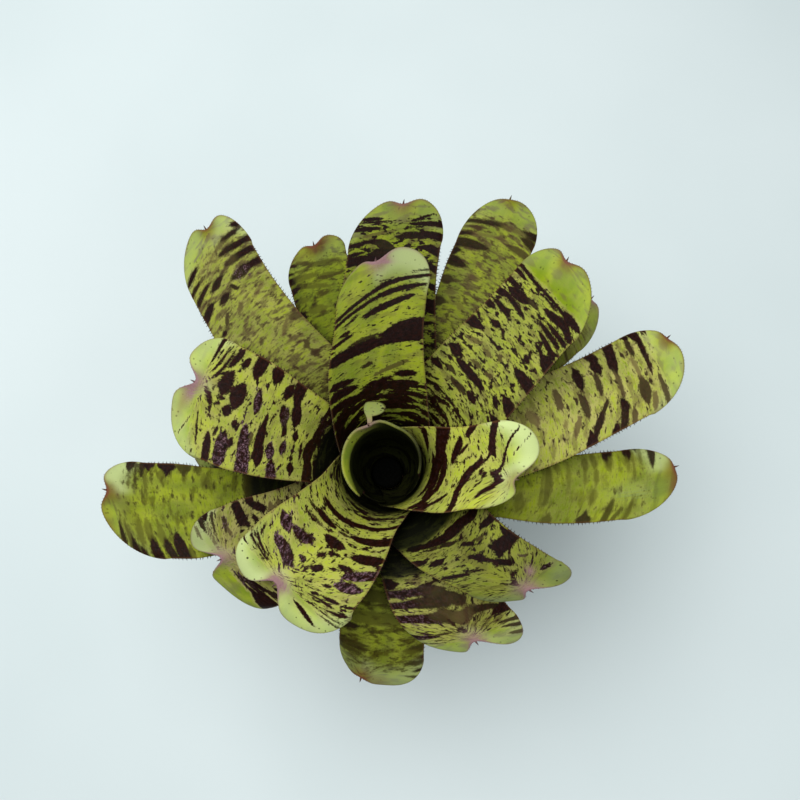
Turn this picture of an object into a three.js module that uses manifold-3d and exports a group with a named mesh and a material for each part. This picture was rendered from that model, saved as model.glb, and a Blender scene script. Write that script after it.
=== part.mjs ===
// Potted neoregelia with a banded rosette: pot, potting mix, stem and nineteen leaves. Millimetres, +Z
// up. The origin is the centre of the pot's underside. Azimuth 0 is +X and 90 is +Y.
import * as THREE from 'three';
import { mergeVertices } from 'three/addons/utils/BufferGeometryUtils.js';
import Module from 'manifold-3d';

const wasm = await Module();
wasm.setup();

// Driving dimensions of the pot, the potting mix and the stem
const GAP = 0.3;
const POT = {
  height: 86,
  topRadius: 45,
  baseRadius: 34,
  wall: 1.6,
  floor: 2,
  edge: 1,
  bandHeight: 12,
  bandStep: 1.4,
  lip: 1.2,
  lipOut: 0.5,
  holeRadius: 3.5,
  holeCircle: 25,
  holeCount: 8,
  holeSides: 8,
  sides: 40,
};
const MIX = {
  topZ: 75,
  sides: 40,
  rings: 5,
  slack: 0.6,
  relief: 1.2,
  waves: [0.37, 0.13, 0.41],
  nearStem: 0.4,
};
const STEM = { radius: 8, bottomZ: 50, topZ: 117, edge: 1.5, sides: 32 };

// Driving dimensions that all leaves share. Leaves are numbered from the innermost, level 0, outwards:
// each level leaves the stem a little lower and stands outside the level before it.
const FOOT = { radius: 8.9, z: 115, drop: 2, halfWidth: 18, angle: 35 };
const SHOULDER = { radius: 16.5, step: 1.45, z: 138, drop: 1.1, angle: 88 };
const SHEATH_PULL = { foot: 0.35, shoulder: 0.42 };
// The innermost sheaths bend most sharply, so up to this share of a level more lies between them.
const INNER_SPREAD = 0.8;
const SHEET = { footThickness: 0.65, bladeThickness: 1.2, marginThickness: 0.65, thickening: 0.4 };
const SPINE = { length: 1.1, halfBase: 0.5, tipLength: 2.6, straight: 0.3 };
// Shares of the sheath's length over which it reaches its full width and from which it narrows again,
// then shares of the blade's length: where the narrowing ends, and where the blade's own change of width
// starts and how long it is.
const WIDTH = { full: 0.55, narrowed: 0.28, changeStart: 0.15, changeLength: 0.55 };
const SHIFT_LENGTH = 0.5;
const GRID = {
  sheathRows: 6,
  sheathBias: 1.3,
  bladeRows: 10,
  tipBias: 0.25,
  columns: 8,
  notchWidth: 1.2,
  gather: 0.8,
};
const NORMAL_STEP = 0.01;
const LINE_STEPS = 60;

// Each leaf: az is the way it points, reach and tipZ its tip, tipAngle the tip's slope, half its half
// width. neck: width at mid blade over width near the tip. sway and shift: sideways bend of the tip and
// of the whole blade. roll: turn about the midrib. channel: curvature across the blade. flat: share of
// the blade over which it opens out. pull: how long it keeps the sheath's slope. rounding: length of the
// round end. notch, at, spread: the cut in the tip, its place and width. skew: how much one lobe is
// longer. droop, droopSkew: how far the lobes curl under. flare: how far the rim turns out from the notch
// on one side.
const LEAVES = [
  {
    az: 107, reach: 14.5, tipZ: 174, tipAngle: 93, pull: 0.35, flat: 9,
    half: 34, sheath: 44, channel: 0, columns: 12,
    rounding: 8, taper: 24, notch: 1, at: 0.05, spread: 0.06, droop: 0.3, flare: 3.5,
  },
  {
    az: 360, reach: 68, tipZ: 174, tipAngle: -20, pull: 0.4, flat: 0.7,
    half: 18, sheath: 31, neck: 1.2, channel: 0.01, sway: 3, shift: -4, roll: 16, columns: 10,
    rounding: 24, notch: 9, at: -0.25, spread: 0.22, skew: 5, droop: 3, droopSkew: 0.3,
  },
  {
    az: 93, reach: 94, tipZ: 184, tipAngle: 10, pull: 0.4, flat: 0.6,
    half: 20, sheath: 32, neck: 1.2, channel: 0.01, sway: -11, shift: 4, roll: -5, columns: 10,
    rounding: 21, notch: 5, at: 0.15, skew: -5,
  },
  {
    az: 231, reach: 82, tipZ: 163, tipAngle: -40, pull: 0.45, flat: 0.7,
    half: 28, neck: 0.8, channel: 0.01, sway: -4, shift: 4, roll: 7, columns: 10,
    rounding: 21, notch: 14, at: -0.1, spread: 0.18, skew: -2, droop: 4, droopSkew: 0.5,
  },
  {
    az: 160, reach: 102, tipZ: 172, tipAngle: -15, pull: 0.4, flat: 0.7,
    half: 26, neck: 0.7, channel: 0.01, sway: -5, shift: 4, roll: -6, columns: 9,
    rounding: 22, notch: 12, at: -0.1, spread: 0.14, skew: -2, droop: 4,
  },
  {
    az: 36, reach: 127, tipZ: 174, tipAngle: 8, pull: 0.3, flat: 0.5,
    half: 22.5, neck: 1.1, channel: 0.01, sway: 18, shift: 4, roll: -16,
    rounding: 24, notch: 5, at: 0.12, skew: 3,
  },
  {
    az: 313, reach: 93, tipZ: 157, tipAngle: -45, pull: 0.42, flat: 0.7,
    half: 17, neck: 1.3, channel: 0.006, sway: 18, shift: -4, roll: 16,
    rounding: 19, notch: 12, at: -0.05, spread: 0.22, skew: 7, droop: 4, droopSkew: -0.6,
  },
  {
    az: 217, reach: 97, tipZ: 147, tipAngle: -35, pull: 0.36, flat: 0.7,
    half: 26, neck: 0.75, channel: 0.006, sway: -16, shift: 4, roll: -8,
    rounding: 20, notch: 14, at: -0.1, spread: 0.14, skew: 4, droop: 4, droopSkew: 0.5,
  },
  {
    az: 93, reach: 128, tipZ: 168, tipAngle: 8, pull: 0.3, flat: 0.5,
    half: 22, neck: 1.2, channel: 0.008, sway: -16,
    rounding: 24, notch: 5, skew: -1,
  },
  {
    az: 292, reach: 99, tipZ: 136, tipAngle: -50, pull: 0.36, flat: 0.7,
    half: 22.5, neck: 0.85, channel: 0.004, sway: 18, shift: -4, roll: 9,
    rounding: 24, notch: 14, spread: 0.22, skew: 5, droop: 4, droopSkew: -0.4,
  },
  {
    az: 135, reach: 148, tipZ: 162, tipAngle: 6, pull: 0.25, flat: 0.5,
    half: 20, neck: 1.2, channel: 0.008, sway: -22, shift: 4, roll: -16,
    rounding: 24, notch: 6, at: -0.1, skew: 2,
  },
  {
    az: 16, reach: 150, tipZ: 158, tipAngle: 5, pull: 0.25, flat: 0.5,
    half: 20, neck: 1.1, channel: 0.008, sway: 18, shift: -4, roll: -11,
    rounding: 24, notch: 3, at: 0.25,
  },
  {
    az: 62, reach: 150, tipZ: 152, tipAngle: 5, pull: 0.25, flat: 0.5,
    half: 18.5, neck: 0.7, channel: 0.006, sway: 7, roll: -2,
    rounding: 24, notch: 2, at: 0.05, skew: -6,
  },
  {
    az: 352, reach: 138, tipZ: 146, tipAngle: 0, pull: 0.25, flat: 0.5,
    half: 16.5, neck: 0.9, channel: 0.006, sway: 19, shift: -4, roll: -3,
    rounding: 24, notch: 2, at: 0.15, skew: -1,
  },
  {
    az: 268, reach: 104, tipZ: 123, tipAngle: -40, pull: 0.3, flat: 0.6,
    half: 20, channel: 0.004, sway: -3, shift: 2, roll: 9,
    rounding: 21, notch: 5, at: -0.25, spread: 0.16, skew: 3, droop: 4, droopSkew: -0.2,
  },
  {
    az: 195, reach: 136, tipZ: 144, tipAngle: 0, pull: 0.25, flat: 0.5,
    half: 23, neck: 0.7, channel: 0.006, sway: -22, shift: 4, roll: 3,
    rounding: 23, notch: 5, at: -0.2, skew: -3,
  },
  {
    az: 111, reach: 122, tipZ: 146, tipAngle: 12, pull: 0.25, flat: 0.5,
    half: 16, channel: 0.006, sway: -5, roll: -3,
    rounding: 13, notch: 4, at: -0.05, skew: -5,
  },
  {
    az: 37, reach: 140, tipZ: 136, tipAngle: 0, pull: 0.25, flat: 0.5,
    half: 15, neck: 0.7, channel: 0.004, sway: 7,
    rounding: 20, notch: 4, skew: 4,
  },
  {
    az: 170, reach: 100, tipZ: 128, tipAngle: 0, pull: 0.25, flat: 0.5,
    half: 17, channel: 0.004,
    rounding: 16, notch: 4,
  },
];
const LEAF_DEFAULTS = {
  sheath: 33, sway: 0, shift: 0, roll: 0, neck: 1, at: 0, spread: 0.17, skew: 0, droop: 2, droopSkew: 0,
  flare: 0,
  columns: GRID.columns,
};
// The innermost leaf's tip has one lobe folded out over the rim on a narrow neck. Its outline lies flat,
// x along the rim and y away from the tube's axis, and then it bends down past the neck.
const EAR = {
  az: 113,
  radius: 17,
  z: 171.8,
  heading: 95,
  thickness: 0.9,
  neck: 1.2,
  neckEnd: 3.4,
  reach: 11,
  left: -2.4,
  right: 7.6,
  bend: 0.05,
};
// The round end's warp runs back this many times its own length, so that rows never fold over each other.
const TAPER_RATIO = 2.2;
const TAPER_LEAST = 36;
const EASE = 0.38;
const MUCRO_LIFT = 1.5;
const FLARE_SPREAD = 0.25;
const DROOP_SPREAD = 1.3;

// Small helpers
const radians = (degrees) => degrees * Math.PI / 180;
const lerp = (a, b, t) => a + (b - a) * t;
const clamp = (x, low, high) => Math.min(high, Math.max(low, x));
const bell = (x, centre, spread) => Math.exp(-(((x - centre) / spread) ** 2));
const heading = (degrees) => new THREE.Vector2(Math.cos(radians(degrees)), Math.sin(radians(degrees)));

function smooth(x) {
  const t = clamp(x, 0, 1);
  return t * t * (3 - 2 * t);
}

// Puts welded triangles into a mesh of one colour.
function solid(name, points, triangles, look) {
  const geometry = new THREE.BufferGeometry();
  geometry.setAttribute('position', new THREE.Float32BufferAttribute(points.flat(), 3));
  geometry.setIndex(triangles.flat());
  geometry.computeVertexNormals();
  const mesh = new THREE.Mesh(geometry, new THREE.MeshStandardMaterial(look));
  mesh.name = name;
  return mesh;
}

// Booleans go through a manifold and come back as a mesh.
function toManifold(geometry) {
  const bare = geometry.clone();
  bare.deleteAttribute('normal');
  bare.deleteAttribute('uv');
  const welded = mergeVertices(bare, 1e-3);
  return new wasm.Manifold(new wasm.Mesh({
    numProp: 3,
    vertProperties: new Float32Array(welded.attributes.position.array),
    triVerts: new Uint32Array(welded.index.array),
  }));
}

function fromManifold(name, manifold, look) {
  const data = manifold.getMesh();
  const geometry = new THREE.BufferGeometry();
  geometry.setAttribute('position', new THREE.Float32BufferAttribute(data.vertProperties, 3));
  geometry.setIndex(Array.from(data.triVerts));
  geometry.computeVertexNormals();
  const mesh = new THREE.Mesh(geometry, new THREE.MeshStandardMaterial(look));
  mesh.name = name;
  return mesh;
}

// A lathe turned to stand on +Z. profile is a list of [radius, z].
function turned(profile, sides) {
  const points = profile.map(([radius, z]) => new THREE.Vector2(radius, z));
  const lathe = new THREE.LatheGeometry(points, sides);
  lathe.rotateX(Math.PI / 2);
  return lathe;
}

// The pot: a tapered shell with a band and a rounded lip at the top and holes in its floor.
function potRadiusAt(z) {
  return lerp(POT.baseRadius, POT.topRadius, z / POT.height);
}

function makePot() {
  const bandZ = POT.height - POT.bandHeight;
  const innerAt = (z) => potRadiusAt(z) - POT.wall;
  const profile = [
    [0, 0],
    [POT.baseRadius - POT.edge, 0],
    [POT.baseRadius, POT.edge],
    [potRadiusAt(bandZ), bandZ],
    [potRadiusAt(bandZ) + POT.bandStep, bandZ + POT.bandStep],
    [POT.topRadius + POT.bandStep, POT.height - 2 * POT.lip],
    [POT.topRadius + POT.bandStep + POT.lipOut, POT.height - POT.lip],
    [POT.topRadius + POT.lipOut, POT.height],
    [innerAt(POT.height) + POT.lipOut, POT.height],
    [innerAt(POT.height), POT.height - POT.lip],
    [innerAt(POT.floor), POT.floor],
    [0, POT.floor],
  ];
  let body = toManifold(turned(profile, POT.sides));
  for (let i = 0; i < POT.holeCount; i += 1) {
    const angle = (i + 0.5) * 2 * Math.PI / POT.holeCount;
    const drill = new THREE.CylinderGeometry(POT.holeRadius, POT.holeRadius, 2 * POT.floor, POT.holeSides);
    drill.rotateX(Math.PI / 2);
    drill.translate(POT.holeCircle * Math.cos(angle), POT.holeCircle * Math.sin(angle), POT.floor / 2);
    body = body.subtract(toManifold(drill));
  }
  return fromManifold('pot', body, { color: 0x2b2c2b, roughness: 0.55, metalness: 0 });
}

// The potting mix fills the pot. Its top is uneven by a formula and has a plain hole for the stem.
function makePottingMix() {
  const floorZ = POT.floor + GAP;
  const holeRadius = STEM.radius + GAP;
  const holeZ = STEM.bottomZ - GAP;
  const wallAt = (z) => potRadiusAt(z) - POT.wall - GAP;
  const rimRadius = wallAt(MIX.topZ) - MIX.slack;
  const [alongX, slant, alongY] = MIX.waves;
  const topRelief = (x, y) => MIX.relief * Math.sin(x * alongX + 1) * Math.cos(y * alongY - x * slant);
  const rings = [
    { radius: 0, z: floorZ, point: true },
    { radius: wallAt(floorZ), z: floorZ },
    { radius: rimRadius, z: MIX.topZ },
  ];
  for (let k = 1; k <= MIX.rings; k += 1) {
    const radius = lerp(rimRadius, holeRadius, k / MIX.rings);
    rings.push({ radius, z: MIX.topZ, relief: k < MIX.rings ? 1 : MIX.nearStem });
  }
  rings.push({ radius: holeRadius, z: holeZ });
  rings.push({ radius: 0, z: holeZ, point: true });
  const points = [];
  const starts = [];
  for (const ring of rings) {
    starts.push(points.length);
    const count = ring.point ? 1 : MIX.sides;
    for (let i = 0; i < count; i += 1) {
      const angle = i * 2 * Math.PI / MIX.sides;
      const x = ring.radius * Math.cos(angle);
      const y = ring.radius * Math.sin(angle);
      points.push([x, y, ring.z + (ring.relief ?? 0) * topRelief(x, y)]);
    }
  }
  const triangles = [];
  for (let k = 0; k + 1 < rings.length; k += 1) {
    const a = starts[k];
    const b = starts[k + 1];
    for (let i = 0; i < MIX.sides; i += 1) {
      const next = (i + 1) % MIX.sides;
      if (rings[k].point) {
        triangles.push([a, b + next, b + i]);
      } else if (rings[k + 1].point) {
        triangles.push([a + i, a + next, b]);
      } else {
        triangles.push([a + i, a + next, b + next], [a + i, b + next, b + i]);
      }
    }
  }
  return solid('potting_mix', points, triangles, { color: 0x3a2a1c, roughness: 0.95, metalness: 0 });
}

// The short stem, with eased ends.
function makeStem() {
  const profile = [
    [0, STEM.bottomZ],
    [STEM.radius - STEM.edge, STEM.bottomZ],
    [STEM.radius, STEM.bottomZ + STEM.edge],
    [STEM.radius, STEM.topZ - STEM.edge],
    [STEM.radius - STEM.edge, STEM.topZ],
    [0, STEM.topZ],
  ];
  const body = toManifold(turned(profile, STEM.sides));
  return fromManifold('stem', body, { color: 0x6d6a34, roughness: 0.8, metalness: 0 });
}

// The midrib of a leaf as radius and height along its length: first the sheath, one of a nested family of
// lines, and then a blade that runs on from it to the tip.
function midrib(leaf, level) {
  const foot = new THREE.Vector2(FOOT.radius, FOOT.z);
  const top = new THREE.Vector2(SHOULDER.radius, SHOULDER.z);
  const rise = foot.distanceTo(top);
  const sheath = new THREE.CubicBezierCurve(
    foot,
    foot.clone().addScaledVector(heading(FOOT.angle), rise * SHEATH_PULL.foot),
    top.clone().addScaledVector(heading(SHOULDER.angle), -rise * SHEATH_PULL.shoulder),
    top,
  );
  const order = level + INNER_SPREAD * (1 - 0.5 ** level);
  const line = [];
  for (let i = 0; i < LINE_STEPS; i += 1) {
    const t = i / (LINE_STEPS - 1);
    const point = sheath.getPoint(t);
    point.x += order * t * SHOULDER.step;
    point.y -= order * lerp(FOOT.drop, SHOULDER.drop, t);
    line.push(point);
  }
  const shoulder = line[LINE_STEPS - 1];
  const onward = shoulder.clone().sub(line[LINE_STEPS - 2]).normalize();
  const tip = new THREE.Vector2(leaf.reach, leaf.tipZ);
  const span = shoulder.distanceTo(tip);
  const blade = new THREE.CubicBezierCurve(
    shoulder,
    shoulder.clone().addScaledVector(onward, span * leaf.pull),
    tip.clone().addScaledVector(heading(leaf.tipAngle), -span * EASE),
    tip,
  );
  for (let i = 1; i < LINE_STEPS; i += 1) {
    line.push(blade.getPoint(i / (LINE_STEPS - 1)));
  }
  const lengths = [0];
  for (let i = 1; i < line.length; i += 1) {
    lengths.push(lengths[i - 1] + line[i].distanceTo(line[i - 1]));
  }
  return { line, lengths, sheathLength: lengths[LINE_STEPS - 1], length: lengths[lengths.length - 1] };
}

// Place and slope of the midrib at a length s from the foot.
function alongMidrib(rib, s) {
  const { line, lengths } = rib;
  const target = clamp(s, 0, rib.length);
  let i = 1;
  while (i < line.length - 1 && lengths[i] < target) {
    i += 1;
  }
  const share = (target - lengths[i - 1]) / (lengths[i] - lengths[i - 1]);
  const slopeAt = (k) => {
    const a = line[clamp(k, 1, line.length - 1) - 1];
    const b = line[clamp(k, 1, line.length - 1)];
    return Math.atan2(b.y - a.y, b.x - a.x);
  };
  const before = share < 0.5 ? slopeAt(i - 1) : slopeAt(i);
  const after = share < 0.5 ? slopeAt(i) : slopeAt(i + 1);
  const blend = share < 0.5 ? share + 0.5 : share - 0.5;
  return {
    r: lerp(line[i - 1].x, line[i].x, share),
    z: lerp(line[i - 1].y, line[i].y, share),
    slope: lerp(before, after, blend),
  };
}

// Half width: narrow at the foot, wide where it wraps the rosette's tube, then the blade.
function halfWidthAt(leaf, rib, s) {
  const bladeLength = rib.length - rib.sheathLength;
  const fullAt = rib.sheathLength * WIDTH.full;
  const narrowedAt = rib.sheathLength + bladeLength * WIDTH.narrowed;
  const wrap = lerp(FOOT.halfWidth, leaf.sheath, smooth(s / fullAt));
  const q = (s - rib.sheathLength) / bladeLength;
  const blade = leaf.half * lerp(leaf.neck, 1, smooth((q - WIDTH.changeStart) / WIDTH.changeLength));
  return lerp(wrap, blade, smooth((s - fullAt) / (narrowedAt - fullAt)));
}

// A point of the leaf's middle surface. s runs along the midrib, x across and lift off the surface.
function bentPoint(leaf, rib, s, x, lift) {
  const { r, z, slope } = alongMidrib(rib, s);
  const q = (s - rib.sheathLength) / (rib.length - rib.sheathLength);
  const open = smooth(q / leaf.flat);
  const curvature = (1 - open) / r + open * leaf.channel;
  const bend = curvature * x;
  const across = Math.sin(bend) / curvature - lift * Math.sin(bend);
  const inward = (1 - Math.cos(bend)) / curvature + lift * Math.cos(bend);
  const rising = new THREE.Vector2(open - 1 - open * Math.sin(slope), open * Math.cos(slope)).normalize();
  const turn = radians(leaf.roll) * smooth(q);
  const side = across * Math.cos(turn) - inward * Math.sin(turn)
    + leaf.sway * Math.max(q, 0) ** 2 + leaf.shift * smooth(q / SHIFT_LENGTH);
  const raised = across * Math.sin(turn) + inward * Math.cos(turn);
  const out = r + rising.x * raised;
  const up = z + rising.y * raised;
  const c = Math.cos(radians(leaf.az));
  const d = Math.sin(radians(leaf.az));
  return new THREE.Vector3(out * c - side * d, out * d + side * c, up);
}

// The sheet's middle surface over u from -1 to 1 across and v from 0 to 1 along. Near the tip the rows
// bow round, dip into the notch and curl down on both sides of it.
function leafPoint(leaf, rib, u, v) {
  const s = v * rib.length;
  const warped = leaf.rounding + Math.abs(leaf.skew);
  const reachBack = leaf.taper ?? Math.max(TAPER_LEAST, TAPER_RATIO * warped);
  const ramp = clamp((s - (rib.length - reachBack)) / reachBack, 0, 1) ** 2;
  const phi = u * Math.PI / 2;
  const x = halfWidthAt(leaf, rib, s) * lerp(u, Math.sin(phi), ramp);
  const along = s - leaf.rounding * (1 - Math.cos(phi)) * ramp
    - leaf.notch * bell(u, leaf.at, leaf.spread) * ramp + leaf.skew * u * ramp;
  const away = 1 - bell(u, leaf.at, DROOP_SPREAD * leaf.spread);
  const curl = leaf.droop * (1 + leaf.droopSkew * u) * ramp ** 2 * away;
  const flare = leaf.flare * ramp ** 2 * smooth((u - leaf.at) / FLARE_SPREAD + 1);
  const lift = MUCRO_LIFT * ramp ** 3 * bell(u, leaf.at, leaf.spread) - curl - flare;
  return bentPoint(leaf, rib, Math.max(along, 0), x, lift);
}

// Rows by share of the length: closer at the foot, where the sheath turns, and closer towards the tip.
function rowPlaces(rib) {
  const sheathShare = rib.sheathLength / rib.length;
  const rows = [];
  for (let k = 0; k < GRID.sheathRows; k += 1) {
    rows.push(sheathShare * (k / GRID.sheathRows) ** GRID.sheathBias);
  }
  for (let k = 0; k <= GRID.bladeRows; k += 1) {
    const t = k / GRID.bladeRows;
    rows.push(lerp(sheathShare, 1, t + GRID.tipBias * t * (1 - t)));
  }
  return rows;
}

// The column that runs into the notch.
function notchColumn(leaf) {
  return Math.round((leaf.at + 1) / 2 * leaf.columns);
}

// Columns are even in the sheath. In the blade the nearest ones close up on the notch and on its two
// shoulders.
function columnPlaces(leaf, v, sheathShare) {
  const middle = notchColumn(leaf);
  const width = GRID.notchWidth * leaf.spread;
  const share = smooth((v - sheathShare) / (1 - sheathShare) / GRID.gather);
  const places = [];
  for (let i = 0; i <= leaf.columns; i += 1) {
    const even = -1 + 2 * i / leaf.columns;
    const side = Math.sign(i - middle);
    const steps = side < 0 ? middle : leaf.columns - middle;
    const along = (Math.abs(i - middle) - 1) / (steps - 1);
    const shaped = side === 0 ? leaf.at : lerp(leaf.at + side * width, side, along);
    places.push(lerp(even, shaped, share));
  }
  return places;
}

// Unit normal of the middle surface, pointing to the leaf's upper face.
function leafNormal(leaf, rib, u, v) {
  const right = leafPoint(leaf, rib, Math.max(u - NORMAL_STEP, -1), v);
  const left = leafPoint(leaf, rib, Math.min(u + NORMAL_STEP, 1), v);
  const below = leafPoint(leaf, rib, u, Math.max(v - NORMAL_STEP, 0));
  const above = leafPoint(leaf, rib, u, Math.min(v + NORMAL_STEP, 1));
  return above.sub(below).cross(left.sub(right)).normalize();
}

// The grid of a leaf: the middle surface's points, and the numbers of the upper and the lower face's
// corners.
function leafGrid(leaf, rib, keep) {
  const sheathShare = rib.sheathLength / rib.length;
  return rowPlaces(rib).map((v) => {
    const grown = smooth((v - sheathShare) / SHEET.thickening);
    const thick = lerp(SHEET.footThickness, SHEET.bladeThickness, grown);
    return columnPlaces(leaf, v, sheathShare).map((u) => {
      const middle = leafPoint(leaf, rib, u, v);
      const normal = leafNormal(leaf, rib, u, v);
      const half = lerp(thick, SHEET.marginThickness, u ** 4) / 2;
      return {
        middle,
        normal,
        upper: keep(middle.clone().addScaledVector(normal, half)),
        lower: keep(middle.clone().addScaledVector(normal, -half)),
      };
    });
  });
}

// The edge, once round: along the foot, up one margin, across the tip and down the other margin. Spines
// start past the sheath, and the longest one stands in the notch.
function leafEdge(leaf, grid) {
  const last = grid.length - 1;
  const edge = [];
  const visit = (j, i, spine) => {
    const behind = grid[Math.max(j - 1, 0)][clamp(i, 1, leaf.columns - 1)].middle;
    edge.push({ ...grid[j][i], behind, spine });
  };
  const marginSpine = (j) => (j > GRID.sheathRows ? SPINE.length : 0);
  for (let i = 0; i < leaf.columns; i += 1) {
    visit(0, i, 0);
  }
  for (let j = 0; j < last; j += 1) {
    visit(j, leaf.columns, marginSpine(j));
  }
  for (let i = leaf.columns; i >= 0; i -= 1) {
    visit(last, i, i === notchColumn(leaf) ? SPINE.tipLength : SPINE.length);
  }
  for (let j = last - 1; j > 0; j -= 1) {
    visit(j, 0, marginSpine(j));
  }
  return edge;
}

// A spine is a small pyramid on the edge. Its base has two corners on the faces and two between them,
// along the edge.
function addSpine(here, toNext, toLast, keep) {
  const outward = toNext.clone().normalize().add(toLast.clone().normalize());
  if (outward.length() < SPINE.straight) {
    outward.copy(toNext).cross(here.normal);
  }
  outward.normalize();
  if (outward.dot(here.middle.clone().sub(here.behind)) < 0) {
    outward.negate();
  }
  here.next = keep(here.middle.clone().addScaledVector(toNext.normalize(), SPINE.halfBase));
  here.previous = keep(here.middle.clone().addScaledVector(toLast.normalize(), SPINE.halfBase));
  here.apex = keep(here.middle.clone().addScaledVector(outward, here.spine));
}

// The strip of edge between two corners of the sheet, round the bases of their spines, and the first
// one's spine.
function edgeTriangles(a, b) {
  const triangles = [];
  if (a.spine && b.spine) {
    triangles.push([a.upper, b.upper, b.previous], [a.upper, b.previous, a.next]);
    triangles.push([a.next, b.previous, a.lower], [b.previous, b.lower, a.lower]);
  } else if (a.spine) {
    triangles.push([a.upper, b.upper, a.next], [b.upper, b.lower, a.next], [b.lower, a.lower, a.next]);
  } else if (b.spine) {
    triangles.push([b.previous, b.lower, a.lower], [b.previous, a.lower, a.upper]);
    triangles.push([b.previous, a.upper, b.upper]);
  } else {
    triangles.push([a.upper, b.upper, b.lower], [a.upper, b.lower, a.lower]);
  }
  if (a.spine) {
    triangles.push([a.upper, a.next, a.apex], [a.next, a.lower, a.apex]);
    triangles.push([a.lower, a.previous, a.apex], [a.previous, a.upper, a.apex]);
  }
  return triangles;
}

// One leaf: two faces split alike, and the edge all round.
function makeLeaf(leaf, level) {
  const points = [];
  const triangles = [];
  const keep = (vector) => points.push(vector.toArray()) - 1;
  const grid = leafGrid(leaf, midrib(leaf, level), keep);
  for (let j = 0; j + 1 < grid.length; j += 1) {
    for (let i = 0; i < leaf.columns; i += 1) {
      const [a, b, c, d] = [grid[j][i], grid[j][i + 1], grid[j + 1][i + 1], grid[j + 1][i]];
      triangles.push([a.upper, c.upper, b.upper], [a.upper, d.upper, c.upper]);
      triangles.push([a.lower, b.lower, c.lower], [a.lower, c.lower, d.lower]);
    }
  }
  const edge = leafEdge(leaf, grid);
  edge.forEach((here, k) => {
    if (here.spine) {
      const toNext = edge[(k + 1) % edge.length].middle.clone().sub(here.middle);
      const toLast = edge.at(k - 1).middle.clone().sub(here.middle);
      addSpine(here, toNext, toLast, keep);
    }
  });
  edge.forEach((here, k) => triangles.push(...edgeTriangles(here, edge[(k + 1) % edge.length])));
  return { points, triangles };
}

// The folded lobe, as a solid that overlaps the rim.
function makeEar() {
  const outline = new THREE.Shape();
  const { neck, neckEnd, reach, left, right } = EAR;
  const widest = (neckEnd + reach) / 2;
  outline.moveTo(-neck, 0);
  outline.lineTo(neck, 0);
  outline.lineTo(neck, neckEnd);
  outline.bezierCurveTo(right * 0.6, neckEnd, right, neckEnd, right, widest);
  outline.bezierCurveTo(right, reach, right * 0.5, reach, 0, reach);
  outline.bezierCurveTo(left * 0.5, reach, left, reach, left, widest);
  outline.bezierCurveTo(left, neckEnd, -neck, neckEnd, -neck, neckEnd - neck);
  const sheet = new THREE.ExtrudeGeometry(outline, {
    depth: EAR.thickness,
    bevelEnabled: false,
    curveSegments: 4,
  });
  const place = sheet.getAttribute('position');
  for (let i = 0; i < place.count; i += 1) {
    const past = Math.max(place.getY(i) - neckEnd, 0);
    place.setZ(i, place.getZ(i) - EAR.bend * past * past);
  }
  sheet.rotateZ(radians(EAR.heading - 90));
  sheet.translate(EAR.radius * Math.cos(radians(EAR.az)), EAR.radius * Math.sin(radians(EAR.az)), EAR.z);
  return sheet;
}

// A leaf as a named mesh. The innermost one carries the folded lobe.
function leafMesh(leaf, level) {
  const { points, triangles } = makeLeaf(leaf, level);
  const name = `leaf_${String(level + 1).padStart(2, '0')}`;
  const age = level / (LEAVES.length - 1);
  const color = new THREE.Color(lerp(0.55, 0.42, age), lerp(0.62, 0.5, age), lerp(0.2, 0.16, age));
  const look = { color, roughness: 0.5, metalness: 0 };
  const blade = solid(name, points, triangles, look);
  if (level > 0) {
    return blade;
  }
  return fromManifold(name, toManifold(blade.geometry).add(toManifold(makeEar())), look);
}

const group = new THREE.Group();
group.name = 'potted_neoregelia';
group.add(makePot(), makePottingMix(), makeStem());
LEAVES.forEach((sizes, level) => group.add(leafMesh({ ...LEAF_DEFAULTS, ...sizes }, level)));

export default group;
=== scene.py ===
import math

import bpy
import numpy as np
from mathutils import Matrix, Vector


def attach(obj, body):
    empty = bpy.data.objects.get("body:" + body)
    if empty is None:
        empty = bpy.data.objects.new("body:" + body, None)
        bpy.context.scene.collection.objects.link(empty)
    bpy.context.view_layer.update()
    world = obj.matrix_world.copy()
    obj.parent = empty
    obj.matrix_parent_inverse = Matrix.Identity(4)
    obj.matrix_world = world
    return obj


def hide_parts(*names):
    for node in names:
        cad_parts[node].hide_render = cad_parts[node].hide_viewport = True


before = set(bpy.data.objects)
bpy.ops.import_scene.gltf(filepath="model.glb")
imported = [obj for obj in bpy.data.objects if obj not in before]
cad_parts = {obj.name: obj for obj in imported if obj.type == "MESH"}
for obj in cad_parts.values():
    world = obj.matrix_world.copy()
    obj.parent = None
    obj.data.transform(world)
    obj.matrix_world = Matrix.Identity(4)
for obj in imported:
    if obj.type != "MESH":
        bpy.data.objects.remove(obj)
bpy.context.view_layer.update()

# Looks of a potted, banded neoregelia. Sizes are in millimetres until a mesh is made, which is in metres.
MM = 0.001
TINY = 1e-6
LEAST_LENGTH = 1e-9
SEEDS = {"mix": 7, "leaf": 100}

# Sizes of the pot, the potting mix and the stem, as in the solids
GAP = 0.3
POT = {
    "height": 86, "top_radius": 45, "base_radius": 34, "wall": 1.6, "floor": 2, "edge": 1,
    "band_height": 12, "band_step": 1.4, "lip": 1.2, "lip_out": 0.5,
    "hole_radius": 3.5, "hole_circle": 25, "hole_count": 8,
}
MIX = {"top_z": 75, "slack": 0.6, "relief": 1.2, "waves": (0.37, 0.13, 0.41)}
STEM = {"radius": 8, "bottom_z": 50, "top_z": 117, "edge": 1.5}

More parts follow.
